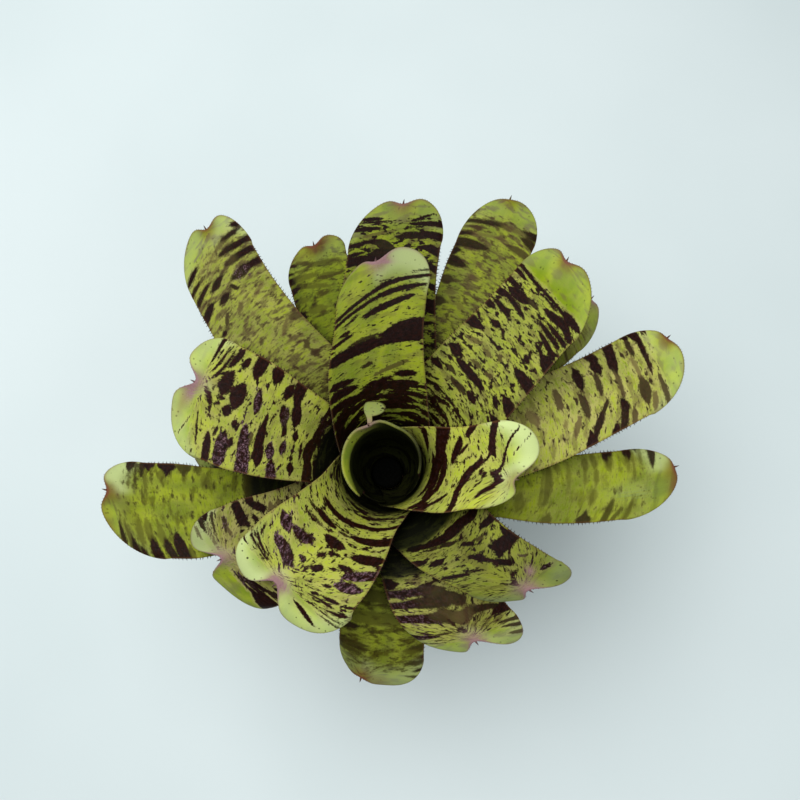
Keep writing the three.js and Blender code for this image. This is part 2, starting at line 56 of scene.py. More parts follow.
# How finely they are made, and their small forms. Ranges are the limits of random draws.
POT_FORM = {
    "sides": 144, "wall_from": 8, "wall_rows": 8, "under_band": 0.6, "band_inset": 0.2, "band_round": 0.5,
    "under_lip": 0.3, "inner_lip": 0.7, "inner_from": 6, "floor_corner": 1, "sharp": 50,
}
DRILL = {"bottom": -2, "top": 4, "sides": 24}
MIX_FORM = {"sides": 96, "rings": 24, "ripple": (-0.5, 0.35), "shade": 0.25}
CHIP = {
    "count": 620, "sizes": ((1.2, 3.4), (0.8, 1.8), (0.5, 1.1)), "top": 0.8, "uneven": 0.22, "tilt": 0.5,
    "rise": (-0.1, 0.9), "shade": (0.05, 0.85), "stem_gap": 2, "rim_gap": 2.5,
    "pumice_share": 0.09, "pumice_size": (0.7, 1.3), "pumice_shade": 1.0,
}
STEM_FORM = {"sides": 72, "first_row": 4, "last_row": 3, "row": 0.8, "scar_depth": 0.35, "scar_waves": 1.25}

# Sizes that all leaves share, as in the solids
FOOT = {"radius": 8.9, "z": 115, "drop": 2, "half_width": 18, "angle": 35}
SHOULDER = {"radius": 16.5, "step": 1.45, "z": 138, "drop": 1.1, "angle": 88}
SHEATH_PULL = {"foot": 0.35, "shoulder": 0.42}
INNER_SPREAD = 0.8
SHEET = {"foot": 0.65, "blade": 1.2, "margin": 0.65, "thickening": 0.4}
WIDTH = {"full": 0.55, "narrowed": 0.28, "change_start": 0.15, "change_length": 0.55}
SHIFT_LENGTH = 0.5
TAPER_RATIO = 2.2
TAPER_LEAST = 36
EASE = 0.38
MUCRO_LIFT = 1.5
FLARE_SPREAD = 0.25
DROOP_SPREAD = 1.3
LINE_STEPS = 240
NORMAL_STEP = 0.006

# The fine grid of a leaf: columns across, the length of a row, how much closer rows lie towards the tip and
# columns towards the margins, and how far the edge is rounded
COLUMNS = 56
ROW_LENGTH = 0.9
SHEATH_ROW_LENGTH = 1.8
TIP_CLOSER = 0.1
MARGIN_CLOSER = 0.35
EDGE = {"bulge": 0.22, "growth": 0.5}
SPINE = {
    "pitch": 1.7, "tip_pitch": 1.15, "length": 1.15, "tip_length": 0.6, "half_base": 0.36,
    "half_thick": 0.2, "sunk": 0.25, "lean": 0.45, "clear": 4,
    "pitch_range": (0.75, 1.3), "length_range": (0.7, 1.15), "lean_range": (0.4, 1.3),
}
MUCRO = {
    "length": 2.6, "sunk": 1.2, "radius": 0.75, "taper": 0.8, "flatness": 0.7, "lean": 0.5,
    "sides": 8, "rings": 6,
}

LEAF_DEFAULTS = {
    "sheath": 33, "sway": 0, "shift": 0, "roll": 0, "neck": 1, "at": 0, "spread": 0.17,
    "skew": 0, "droop": 2, "droop_skew": 0, "flare": 0, "taper": None,
}
LEAVES = [
    {
        "az": 107, "reach": 14.5, "tip_z": 174, "tip_angle": 93, "pull": 0.35, "flat": 9,
        "half": 34, "sheath": 44, "channel": 0,
        "rounding": 8, "taper": 24, "notch": 1, "at": 0.05, "spread": 0.06, "droop": 0.3, "flare": 3.5,
    },
    {
        "az": 360, "reach": 68, "tip_z": 174, "tip_angle": -20, "pull": 0.4, "flat": 0.7,
        "half": 18, "sheath": 31, "neck": 1.2, "channel": 0.01, "sway": 3, "shift": -4, "roll": 16,
        "rounding": 24, "notch": 9, "at": -0.25, "spread": 0.22, "skew": 5, "droop": 3, "droop_skew": 0.3,
    },
    {
        "az": 93, "reach": 94, "tip_z": 184, "tip_angle": 10, "pull": 0.4, "flat": 0.6,
        "half": 20, "sheath": 32, "neck": 1.2, "channel": 0.01, "sway": -11, "shift": 4, "roll": -5,
        "rounding": 21, "notch": 5, "at": 0.15, "skew": -5,
    },
    {
        "az": 231, "reach": 82, "tip_z": 163, "tip_angle": -40, "pull": 0.45, "flat": 0.7,
        "half": 28, "neck": 0.8, "channel": 0.01, "sway": -4, "shift": 4, "roll": 7,
        "rounding": 21, "notch": 14, "at": -0.1, "spread": 0.18, "skew": -2, "droop": 4, "droop_skew": 0.5,
    },
    {
        "az": 160, "reach": 102, "tip_z": 172, "tip_angle": -15, "pull": 0.4, "flat": 0.7,
        "half": 26, "neck": 0.7, "channel": 0.01, "sway": -5, "shift": 4, "roll": -6,
        "rounding": 22, "notch": 12, "at": -0.1, "spread": 0.14, "skew": -2, "droop": 4,
    },
    {
        "az": 36, "reach": 127, "tip_z": 174, "tip_angle": 8, "pull": 0.3, "flat": 0.5,
        "half": 22.5, "neck": 1.1, "channel": 0.01, "sway": 18, "shift": 4, "roll": -16,
        "rounding": 24, "notch": 5, "at": 0.12, "skew": 3,
    },
    {
        "az": 313, "reach": 93, "tip_z": 157, "tip_angle": -45, "pull": 0.42, "flat": 0.7,
        "half": 17, "neck": 1.3, "channel": 0.006, "sway": 18, "shift": -4, "roll": 16,
        "rounding": 19, "notch": 12, "at": -0.05, "spread": 0.22, "skew": 7, "droop": 4, "droop_skew": -0.6,
    },
    {
        "az": 217, "reach": 97, "tip_z": 147, "tip_angle": -35, "pull": 0.36, "flat": 0.7,
        "half": 26, "neck": 0.75, "channel": 0.006, "sway": -16, "shift": 4, "roll": -8,
        "rounding": 20, "notch": 14, "at": -0.1, "spread": 0.14, "skew": 4, "droop": 4, "droop_skew": 0.5,
    },
    {
        "az": 93, "reach": 128, "tip_z": 168, "tip_angle": 8, "pull": 0.3, "flat": 0.5,
        "half": 22, "neck": 1.2, "channel": 0.008, "sway": -16,
        "rounding": 24, "notch": 5, "skew": -1,
    },
    {
        "az": 292, "reach": 99, "tip_z": 136, "tip_angle": -50, "pull": 0.36, "flat": 0.7,
        "half": 22.5, "neck": 0.85, "channel": 0.004, "sway": 18, "shift": -4, "roll": 9,
        "rounding": 24, "notch": 14, "spread": 0.22, "skew": 5, "droop": 4, "droop_skew": -0.4,
    },
    {
        "az": 135, "reach": 148, "tip_z": 162, "tip_angle": 6, "pull": 0.25, "flat": 0.5,
        "half": 20, "neck": 1.2, "channel": 0.008, "sway": -22, "shift": 4, "roll": -16,
        "rounding": 24, "notch": 6, "at": -0.1, "skew": 2,
    },
    {
        "az": 16, "reach": 150, "tip_z": 158, "tip_angle": 5, "pull": 0.25, "flat": 0.5,
        "half": 20, "neck": 1.1, "channel": 0.008, "sway": 18, "shift": -4, "roll": -11,
        "rounding": 24, "notch": 3, "at": 0.25,
    },
    {
        "az": 62, "reach": 150, "tip_z": 152, "tip_angle": 5, "pull": 0.25, "flat": 0.5,
        "half": 18.5, "neck": 0.7, "channel": 0.006, "sway": 7, "roll": -2,
        "rounding": 24, "notch": 2, "at": 0.05, "skew": -6,
    },
    {
        "az": 352, "reach": 138, "tip_z": 146, "tip_angle": 0, "pull": 0.25, "flat": 0.5,
        "half": 16.5, "neck": 0.9, "channel": 0.006, "sway": 19, "shift": -4, "roll": -3,
        "rounding": 24, "notch": 2, "at": 0.15, "skew": -1,
    },
    {
        "az": 268, "reach": 104, "tip_z": 123, "tip_angle": -40, "pull": 0.3, "flat": 0.6,
        "half": 20, "channel": 0.004, "sway": -3, "shift": 2, "roll": 9,
        "rounding": 21, "notch": 5, "at": -0.25, "spread": 0.16, "skew": 3, "droop": 4, "droop_skew": -0.2,
    },
    {
        "az": 195, "reach": 136, "tip_z": 144, "tip_angle": 0, "pull": 0.25, "flat": 0.5,
        "half": 23, "neck": 0.7, "channel": 0.006, "sway": -22, "shift": 4, "roll": 3,
        "rounding": 23, "notch": 5, "at": -0.2, "skew": -3,
    },
    {
        "az": 111, "reach": 122, "tip_z": 146, "tip_angle": 12, "pull": 0.25, "flat": 0.5,
        "half": 16, "channel": 0.006, "sway": -5, "roll": -3,
        "rounding": 13, "notch": 4, "at": -0.05, "skew": -5,
    },
    {
        "az": 37, "reach": 140, "tip_z": 136, "tip_angle": 0, "pull": 0.25, "flat": 0.5,
        "half": 15, "neck": 0.7, "channel": 0.004, "sway": 7,
        "rounding": 20, "notch": 4, "skew": 4,
    },
    {
        "az": 170, "reach": 100, "tip_z": 128, "tip_angle": 0, "pull": 0.25, "flat": 0.5,
        "half": 17, "channel": 0.004,
        "rounding": 16, "notch": 4,
    },
]

EAR = {
    "az": 113, "radius": 17, "z": 171.8, "heading": 95, "thickness": 0.9, "neck": 1.2,
    "neck_end": 3.4, "reach": 11, "left": -2.4, "right": 7.6, "bend": 0.05, "dish": 0.015, "dish_at": 2.5,
    "centre": (0.3, 5.5), "rings": 8, "curve_steps": 14, "handle": 0.6,
    "blade_from": 0.5, "blade_run": 5, "grain_seed": 11, "edge_scale": 5,
    # The cup share is painted shade on the ear's blade, and the lobe share partly painted highlight.
    "shares": {"pale_and_lit_lobe": 0.1, "grey": 0.5, "cup_shade": 0.35}, "neck_blush": 0.75, "rim_blush": 0.2, "rim_narrow": 8,
}

# How a listed band is drawn: how far its depth is told apart and how softly bands join, how much wider it
# is than stated, how far its free ends narrow and how fast it fades beyond them. Ends nearer than joined
# belong to one band. An end past near_margin doesn't narrow, and one past to_margin runs to the margin.
BAND = {
    "reach": 6, "blend": 0.4, "widening": 0.08, "narrowing": 0.5, "narrow_power": 4, "end_fall": 0.5,
    "violet_scurf_and_sheen": 0.05, "usual_width": 1.5, "joined": (0.02, 0.6), "near_margin": 0.9, "to_margin": 0.93,
}
# Lengths and shares that place the colours along a leaf. cup_start, cup_length, cup_run, rim_shade and
# rim_run place painted shade.
PLACE = {
    "fan_least": 0.04, "bow_run": 12, "slant_run": 20, "wild_run": 4, "bare_lead": 2, "bare_run": 3,
    "lobe_reach": 17, "lobe_run": 12, "lobe_clear": 7, "lobe_blend": 4, "blush_reach": 4.5,
    "rim_blush": 0.8, "rim_width": 1.1, "cup_start": 0.8, "cup_length": 22, "cup_run": 5,
    "rim_shade": 0.4, "rim_run": 0.8, "side_clear": 0.1, "grain_step": 37,
}

# Markings of each leaf, in the same order. tone: 0 lime to 1 olive. light: how bright its colours are, which
# is painted light and shade, brighter or darker for how lit or shaded the leaf is. haze: 0 crisp to 1
# blurred. blotch and fleck: how many small marks lie between the bands. dots: how dark the round dots are.
# milk: how khaki the green close to a mark is. ghost: how strong the soft, dull clouds are. bare: length of
# plain leaf at the tip. pale: how whitish the lobes right and left of the notch are, partly their own paler
# green and partly a painted highlight where a lobe faces the light. blush: how pink the notch is. rust: 0
# pink to 1 rusty. rim: how far along the tip's edge the pink reaches. fan: how far back from the notch the
# bands bend towards it. bow: how far the bands' middle lies nearer the tip. slant: how much nearer the tip
# they lie for each mm to the left. wild: how far back from the notch chance bands take over, and cover is
# the share they take. cup_from: how far back the painted shade of the cup starts, near-black where the leaf
# runs down into the shadow of the tank.
# bands: across from, back from, across to, back to and half width, then strength and violet sheen where
# they aren't the usual ones; the violet is partly grey scurf and partly painted sheen. Across runs from -1
# to 1, back is in mm from the notch. A few bands are painted shade, where another leaf shades this one.
# spots: kind, across, back, reach across, reach back and strength. Spots of the cup shade kind are painted
# shade, and olive shade spots are mostly painted shade, where a leaf lies in shadow.
LOOK_DEFAULTS = {
    "tone": 0.3, "light": 1, "haze": 0.1, "blotch": 0.25, "fleck": 0.3, "dots": 0.5, "milk": 0.6,
    "ghost": 0.4,
    "bare": 2, "pale": (0.4, 0.4), "blush": 0.6, "rust": 0, "rim": 17, "fan": 8, "bow": 3, "slant": 0,
    "wild": 70, "cover": 0.4, "cup_from": 200, "bands": [], "spots": [],
}
LOOKS = [
    {
        "tone": 0, "blotch": 0.1, "fleck": 0.1, "dots": 1, "milk": 0.5, "ghost": 0.1, "bare": 5,
        "pale": (0.2, 0.1), "blush": 0.5, "rim": 5, "fan": 2, "wild": 12, "cup_from": 5,
        "spots": [
            # Spots of painted shade inside the tube and on its far rim.
            ("cup_shade", -0.56, 8, 0.53, 40, 2.5), ("cup_shade", 1, 9, 0.4, 6.5, 1.6),
        ],
    },
    {
        "tone": 0.05, "light": 1.24, "blotch": 0.3, "fleck": 0.6, "ghost": 0.25, "bare": 4,
        "pale": (0.4, 0.9), "blush": 0.4, "fan": 30, "slant": 0.35, "wild": 52,
        "bands": [
            (0.62, -2, 0.05, 12, 1.2), (0.05, 12, -0.15, 20.5, 1.2), (-0.15, 20.5, -0.65, 18, 1),
            (0.45, -7, 0.15, 1, 0.4), (0.95, 9, 0.3, 17, 2.3), (0.3, 17, 0.1, 22, 1),
            (0.15, 23, -0.1, 25.8, 1.4), (-0.1, 25.8, -0.5, 26.5, 1.3), (-0.5, 26.5, -0.95, 24, 1.3),
            (0.97, 21.5, 0.72, 26, 2.2), (0.5, 27, 0.3, 30, 0.8), (0.65, 29.5, 0.15, 33, 1.8),
            (0.95, 36, 0.5, 40, 3.6), (0.5, 40, 0, 43.5, 3.4), (0.3, 37.5, -0.5, 38.5, 2.2),
            (0, 43.5, -0.6, 42.5, 2.6), (-0.5, 40, -0.9, 40, 1.8), (0.3, 47, -0.6, 46.5, 1.8),
            (0.9, 47, 0.4, 51, 1.6), (-0.55, 31, -0.9, 36, 1.2), (-0.8, 37, -0.97, 36, 2.5),
        ],
    },
    {
        "tone": 0.05, "light": 0.68, "fleck": 0.5, "milk": 0.3, "bare": 8, "pale": (0.9, 0.05),
        "blush": 0.8, "fan": 14, "slant": -0.3, "wild": 57, "cover": 0.8,
        "bands": [
            (-0.9, 9.5, 0, 14.3, 1.1), (0, 14.3, 0.95, 20.3, 0.9), (-0.88, 15.8, 0, 17.7, 1.3),
            (0, 17.7, 0.95, 22.8, 0.9), (-0.95, 5.5, -0.45, 8, 0.8), (-0.62, 21.5, 0.3, 24.5, 1.8),
            (0.45, 23, 0.75, 25, 0.7), (0.6, 28.5, 0.85, 28.5, 0.8), (0.55, 30.5, 0.95, 31.5, 0.9),
            (-0.95, 36, -0.2, 36, 4.2), (-0.9, 40.2, 0.1, 38.8, 2), (0.1, 38.8, 0.9, 38.3, 2.7),
            (0, 35.3, 0.6, 35, 1, 0.8), (-0.65, 50.5, 0.05, 53.5, 1.2, 0.6),
            (0.1, 47.5, 0.3, 47.8, 1.2, 0.8), (0.5, 51.5, 0.9, 49, 1.5), (0.45, 55.5, 0.9, 53, 2),
            (-0.8, 56, -0.4, 55.5, 1.7), (-0.8, 60.5, 0.4, 60, 2.2), (-0.9, 66, -0.2, 64, 1.2),
            (0.3, 61.5, 0.95, 57.5, 1.8), (-0.3, 57, 0.3, 57.5, 1.3),
        ],
        "spots": [
            ("pink", 0.05, 1, 0.12, 3, 0.9),
        ],
    },
    {
        "tone": 0.1, "light": 1.08, "blotch": 0.6, "fleck": 0.5, "dots": 0.9, "ghost": 0.3, "bare": 3,
        "pale": (0.9, 0.6), "blush": 0.9, "fan": 34, "bow": 5, "wild": 52, "cover": 0.5,
        "bands": [
            (-0.6, 45.5, -0.1, 46.5, 1.5), (-0.1, 46.5, 0.4, 49.5, 1.6), (0.4, 49.5, 0.95, 50, 1.1),
            (-0.8, 37, -0.45, 39, 0.7), (-0.45, 39.5, -0.08, 40, 1.6), (0.02, 39.8, 0.25, 40, 0.7, 0.9),
            (0.3, 40.8, 0.95, 41.3, 2.1), (-0.55, 35.5, -0.25, 36.3, 0.6, 0.8),
            (-0.08, 34.7, 0.25, 34.3, 1.9), (0.5, 32.5, 0.92, 32, 2),
            (-0.85, 25.3, -0.58, 26.8, 2.1, 1, 0.9), (-0.55, 28.6, -0.2, 31, 1.3, 1, 0.5),
            (-0.62, 21.5, -0.4, 24.3, 1.7, 1, 0.9), (-0.4, 24.3, -0.15, 26, 2, 1, 0.6),
            (0.03, 30, 0.1, 30.5, 0.9), (0.13, 31.5, 0.22, 31.3, 0.9), (0.1, 27.2, 0.2, 27, 1.3),
            (0.06, 23.6, 0.12, 23.3, 0.9), (0.38, 28.6, 0.6, 27.8, 0.9),
            (0.55, 25.6, 0.97, 25.6, 2, 1, 0.8), (0.52, 22.3, 0.88, 19.5, 2.2, 1, 0.9),
            (0.36, 21.8, 0.46, 21, 0.9), (0.08, 18.6, 0.3, 18, 0.7), (0.45, 15, 0.7, 13.8, 1.1),
            (0.35, 12.8, 0.66, 10.8, 1), (0.8, 13, 0.95, 12.5, 0.6), (0.05, 13.5, 0.4, 12.5, 0.5),
            (0.15, 9, 0.5, 7.5, 0.5), (0.55, 8.2, 0.9, 9, 0.7), (0.3, 5.5, 0.85, 5.5, 0.5),
            (0.5, 3, 0.9, 3.5, 0.5), (0.2, -1, 0.5, -3, 1.2), (-0.9, 9.5, -0.3, 11, 0.7),
            (-0.85, 13, -0.5, 12.5, 0.9), (-0.5, 12.5, -0.2, 14, 0.6), (-0.25, 17, 0.05, 19, 0.6),
            (-0.2, 12.5, 0.1, 15, 0.5),
        ],
        "spots": [
            ("pink", -0.05, 3, 0.12, 5, 0.9), ("grey", -0.85, 10, 0.2, 5, 0.5),
        ],
    },
    {
        "tone": 0.15, "light": 1.02, "blotch": 0.5, "fleck": 0.5, "ghost": 0.35, "bare": 5,
        "pale": (0.5, 0.5), "blush": 0.8, "fan": 26, "bow": 0, "wild": 54, "cover": 0.75, "cup_from": 61,
        "bands": [
            (-0.9, 5, -0.3, 6, 1), (-0.85, 9.5, -0.2, 11.5, 0.7), (-0.85, 12.2, -0.1, 15, 0.7),
            (-0.9, 15, -0.55, 15, 1.3), (-0.48, 17, -0.15, 18.2, 1.6), (-0.08, 16, 0.1, 16, 0.9),
            (-0.85, 18.8, -0.65, 18.5, 1.3), (-0.95, 23.8, -0.64, 23.4, 2.4),
            (-0.38, 21.2, -0.04, 21.2, 2.1), (0.02, 20, 0.14, 19.8, 1.3),
            (-0.43, 27.3, -0.1, 28.9, 2, 1, 0.6), (-0.92, 31, -0.75, 31.3, 2.6),
            (-0.85, 38.3, -0.6, 38.2, 2.1), (-0.97, 41.8, -0.62, 43, 2.4), (-0.6, 44.5, -0.22, 47.3, 2.7),
            (-0.42, 41, -0.1, 42.5, 1.8, 0.9, 0.5), (-0.15, 34.3, 0.15, 34.5, 1.1),
            (0.15, 34.7, 0.45, 35.5, 2), (0.45, 36, 0.78, 37.6, 2.2),
            (0.35, 40.5, 0.6, 41.8, 2.2, 1, 0.8), (0.68, 43, 0.95, 44.5, 2.1, 1, 0.8),
            (0.22, 46, 0.46, 46.2, 1.7, 1, 0.5), (-0.06, 49.5, 0.1, 50.3, 1.7),
            (-0.45, 39, -0.2, 40.3, 1.4), (-0.1, 43.5, 0.1, 44.5, 1.3), (0.64, 51.6, 0.84, 52.3, 1.8),
            (0.05, 58.5, 0.55, 59.5, 3), (0.5, 60, 0.85, 61, 2.6), (0.1, 54, 0.5, 55.5, 0.8),
            (0.22, 27.4, 0.95, 32.6, 2.7, 1, 0.9), (0.25, 31, 0.48, 31.8, 0.9, 0.7),
            (0.45, 21, 0.9, 22, 2.5, 1, 0.7), (0.47, 23.8, 0.6, 24.3, 1.2), (0.52, 16, 0.95, 16.5, 1.6),
            (0.2, 10.5, 0.65, 11, 0.6), (0.35, 18.6, 0.5, 18, 0.6), (0.17, 23, 0.28, 23, 1.1),
            (0.3, 4.8, 0.55, 0, 0.7),
        ],
        "spots": [
            ("pink", 0.03, -1, 0.14, 4, 0.9), ("brown", 0.15, -4, 0.2, 3, 0.5),
        ],
    },
    {
        "tone": 0.15, "light": 0.93, "blotch": 0.7, "fleck": 0.65, "milk": 0.5, "ghost": 0.6, "bare": 15,
        "pale": (0.15, 0.2), "blush": 0.7, "rust": 0.8, "fan": 12, "bow": 2, "wild": 80, "cover": 0.5,
        "bands": [
            (0.95, 16.5, 0.4, 18.5, 0.9), (0.4, 18.5, -0.45, 19, 0.8), (-0.45, 18.5, -0.85, 18.5, 1.8),
            (0.95, 19.5, 0.6, 20.5, 1.1), (0.95, 25, 0.65, 25.5, 1.5), (0.75, 28.5, 0.3, 27.5, 2.6),
            (0.35, 26.5, 0.05, 26, 1.2, 0.8), (0.95, 32.5, 0.75, 32, 1.8), (0.85, 31, 0.15, 33.5, 1.3),
            (0.85, 37, 0.4, 38, 1.6), (0.95, 40, 0.78, 40, 1.5), (0.6, 45, 0.42, 44.5, 1.9),
            (0.95, 51.5, 0.7, 51, 2.6), (0.75, 58, 0.45, 56, 1.2, 0.6), (0.85, 66, 0.62, 66.5, 2.8),
            (0.3, 57, 0.1, 56.5, 1.2, 0.6), (0, 53.5, -0.1, 54, 1.5, 0.7), (-0.1, 24, -0.6, 22, 2),
            (-0.6, 22.5, -0.9, 24, 1.5), (-0.3, 27, -0.9, 27, 1.2), (-0.15, 29.5, -0.85, 30, 1.2),
            (-0.3, 32.5, -0.9, 34, 1.3), (-0.4, 37, -0.7, 37.5, 1), (-0.72, 38, -0.97, 38, 3),
            (-0.42, 44, -0.55, 44.5, 1.6), (-0.5, 51, -0.95, 50, 2.6), (-0.7, 62, -0.95, 62.5, 2.5),
            (-0.5, 66, -0.7, 67, 1.5), (-0.75, 71, -0.95, 71, 2.2), (0.55, 69, -0.2, 68.5, 2.2),
            (0.35, 64, 0.1, 63.5, 1, 0.7), (0, 63, -0.25, 62, 0.9, 0.7), (0.9, 76, 0.7, 76.5, 1.5),
            (0.65, 74, 0.45, 74, 1.3, 0.8), (0.4, 77, 0, 76.5, 1.5, 0.8), (-0.05, 75, -0.25, 75, 2),
        ],
    },
    {
        "tone": 0.25, "light": 0.66, "blotch": 0.45, "fleck": 0.75, "dots": 0.9, "milk": 0.5,
        "ghost": 0.5, "bare": 4, "pale": (0.5, 0.3), "blush": 0.9, "fan": 34, "wild": 53, "cover": 0.75,
        "cup_from": 47,
        "bands": [
            (0.85, 39.5, 0.4, 42, 2.5), (0.5, 43, 0, 45, 3), (0, 44.5, -0.3, 46.5, 2.4),
            (-0.3, 47, -0.65, 48, 1.6), (-0.55, 48.8, -0.85, 49.5, 2), (0.95, 31, 0.6, 34, 1.6),
            (0.99, 30, 0.95, 25, 2), (0.97, 20.5, 0.75, 23, 2.4), (0.75, 23, 0.45, 26.5, 2.4),
            (0.45, 27, 0.35, 28.5, 1.2), (0.45, 32, 0.3, 33, 0.8, 0.7), (0.2, 33.5, 0, 36.5, 1.3),
            (-0.05, 40, -0.3, 43, 1.5, 0.85), (-0.4, 44, -0.5, 45, 1, 0.8), (0.3, 23, 0.1, 27, 1.6),
            (0.65, 15, 0.5, 19.5, 1, 0.7, 0.6), (0.08, 28, -0.02, 29.5, 1), (-0.03, 30, -0.12, 31.5, 1.4),
            (0.25, 20, 0.03, 23.5, 0.6), (0.03, 23.5, -0.12, 22, 0.8), (-0.18, 21.8, -0.25, 21.8, 1),
            (-0.8, 41, -0.97, 42, 1.6), (-0.6, 37.5, -0.8, 38, 1.6), (-0.62, 33, -0.72, 33.5, 0.6),
            (-0.55, 37, -0.6, 37, 0.7), (-0.5, 27.5, -0.9, 29.5, 1), (-0.42, 28.5, -0.5, 28.5, 0.5),
            (0.7, 3, 0.45, 5, 1.8, 0.9, 0.6),
        ],
        "spots": [
            ("grey", 0.6, -5, 0.35, 6, 0.6), ("pink", 0.3, 12, 0.12, 4, 0.8),
            ("olive_shade", 0.05, 33, 0.3, 7, 0.6),
        ],
    },
    {
        "tone": 0.2, "light": 0.8, "blotch": 0.42, "fleck": 0.6, "milk": 1, "pale": (0.8, 0.1),
        "blush": 0.8, "fan": 34, "wild": 34, "cover": 0.45,
        "bands": [
            (-0.65, -1.5, -0.45, -3, 0.8, 0.6, 0.6), (-0.85, 3, -0.55, 1.5, 1.5, 0.9),
            (-0.95, 6, -0.75, 5, 1.5, 0.95), (-0.75, 2.5, -0.15, 1, 0.6, 0.5, 0.8),
            (-0.7, 5, -0.1, 3, 0.8, 0.5, 0.8), (-0.6, 8, -0.1, 5, 0.8, 0.6, 0.8),
            (-0.9, 9, -0.5, 8, 0.8, 0.8), (-0.75, 14.5, -0.5, 16, 1.3, 0.8, 0.9),
            (-0.55, 16.5, -0.4, 19, 1, 0.6, 0.8), (-0.92, 18.8, -0.6, 22.5, 1.8),
            (-0.6, 23, -0.45, 25, 0.8), (-0.95, 23.5, -0.8, 25.5, 1.5), (-0.65, 25.5, -0.5, 27, 0.8),
            (-0.82, 26.8, -0.68, 28.5, 1.9), (-0.75, 31, -0.6, 31.5, 1.4, 0.6),
            (-0.8, 34, -0.6, 34, 1.2, 0.6), (-0.35, 14.5, -0.05, 18, 1, 0.6),
            (0.1, 0, 0.5, 1, 1.2, 0.9, 0.6), (0.1, 3, 0.5, 5, 1.5, 0.9, 0.6), (0.5, 2, 0.97, 1, 3),
            (0.5, 6, 0.97, 6, 2.5), (0.25, 7, 0.6, 10, 2), (0.6, 11, 0.9, 12, 2, 0.9),
        ],
        "spots": [
            ("grey", -0.3, 3, 0.3, 5, 0.5),
        ],
    },
    {
        "tone": 0.25, "light": 0.68, "blotch": 0.75, "fleck": 0.55, "milk": 0.2, "ghost": 0.8, "bare": 6,
        "pale": (0.2, 0.2), "rust": 0.5, "bow": 2, "wild": 54,
        "bands": [
            (0.62, 7, 0.3, 7.5, 1), (0.68, 8.7, 0.2, 9, 0.7), (0.27, 9, 0.13, 9.2, 0.6),
            (0.85, 12.3, 0.32, 12.5, 1.3), (0.6, 16, 0.05, 14.5, 0.8, 0.5), (0.97, 20, 0.35, 18.5, 1),
            (0.35, 19.5, 0, 24, 3, 0.85), (0.4, 25, -0.1, 25.5, 3, 0.9), (0.92, 27.5, -0.1, 27.5, 2.2),
            (0.97, 24.5, 0.6, 23.8, 0.9), (-0.55, 6, -0.2, 9.3, 0.9), (-0.2, 11, -0.9, 11.3, 1.4),
            (0, 17.5, -0.5, 17, 1.4, 0.9), (-0.1, 15.8, -0.4, 15.6, 0.7), (-0.5, 16.5, -0.95, 17.5, 1.7),
            (-0.45, 22.7, -0.7, 22.8, 1.2), (-0.7, 23, -0.97, 25, 2), (-0.78, 31, -0.97, 33, 1.8),
            (-0.8, 40, -0.97, 41.5, 1.6), (-0.62, 48.5, -0.95, 50.5, 3.4), (-0.65, 27, -0.75, 27, 0.6),
        ],
    },
    {
        "tone": 0.35, "light": 1.02, "haze": 0.2, "blotch": 0.65, "fleck": 0.7, "milk": 0.7, "ghost": 0.9,
        "pale": (0.3, 0.4), "blush": 0.9, "fan": 34, "wild": 40, "cover": 0.65, "cup_from": 37,
        "bands": [
            (-0.97, 33.3, -0.25, 33, 1.6, 1, 0.4), (-0.25, 33, 0.1, 31, 2.2, 0.8),
            (-0.97, 28.3, -0.49, 29.2, 1.5, 1, 0.4), (-0.49, 29.2, 0.1, 29.3, 1.8, 0.85),
            # The first band on this line is partly painted shadow, under the margin of the leaf above.
            (0.1, 29.3, 0.35, 26.5, 2, 0.8), (-0.75, 37.5, -0.97, 37.5, 2.4),
            (-0.97, 22, -0.42, 23.8, 1.9, 1, 0.5), (-0.42, 23.8, -0.1, 26.3, 1.7, 0.8),
            (-0.1, 26.3, 0.31, 23.2, 1.5, 0.7), (0.31, 23.2, 0.83, 12.8, 1.6, 0.85),
            (-0.9, 12.2, -0.52, 12.7, 1.3, 1, 0.4), (-0.52, 13, -0.2, 18.5, 1, 0.8),
            (0.97, 10, 0.6, 13.5, 2.6), (0.95, 2.5, 0.5, 6, 1.2, 0.8), (0.95, -1.5, 0.5, 2, 1.3, 0.8),
            (0.9, -6, 0.5, -3.5, 1.5, 0.7), (0.15, 17, 0.5, 13, 0.8, 0.7), (0.15, 12, 0.5, 9, 0.8, 0.7),
        ],
        "spots": [
            # These olive spots are painted shade, where this leaf lies in shadow.
            ("olive_shade", 0.5, 14, 0.5, 12, 0.6), ("olive_shade", 0.3, 22, 0.4, 8, 0.5),
        ],
    },
    {
        "light": 0.88, "haze": 0.5, "blotch": 0.55, "fleck": 0.4, "ghost": 1, "bare": 9,
        "pale": (0.5, 0.4), "blush": 0.5, "rust": 1, "fan": 14, "wild": 82,
        "bands": [
            (-0.55, 9, -0.75, 11, 1.6), (-0.75, 12.5, -0.3, 13, 1.2, 0.9),
            (-0.3, 13.5, 0, 14.5, 0.9, 0.6), (-0.95, 18.5, -0.5, 18, 1.6),
            (-0.5, 17.5, -0.1, 16.5, 1.6, 0.9), (-0.95, 23.5, -0.45, 22.5, 1.8),
            (-0.45, 22.5, -0.15, 22, 2, 0.75), (-0.97, 29.5, -0.5, 29.5, 1.8),
            (-0.5, 29.5, -0.15, 29, 2.6, 0.85, 0.7), (0.45, 12, 0.85, 13.5, 1.6),
            (0.5, 17.5, 0.95, 18, 1.2, 0.9), (0.2, 15.5, 0.35, 18.5, 0.8, 0.5),
            (0.05, 19, 0.3, 21, 0.8, 0.5), (0.45, 22, 0.9, 23.5, 1.6, 0.9),
            (0.1, 24.5, 0.4, 25.5, 2.3, 0.9), (-0.02, 23, 0.1, 23.5, 1.2, 0.7),
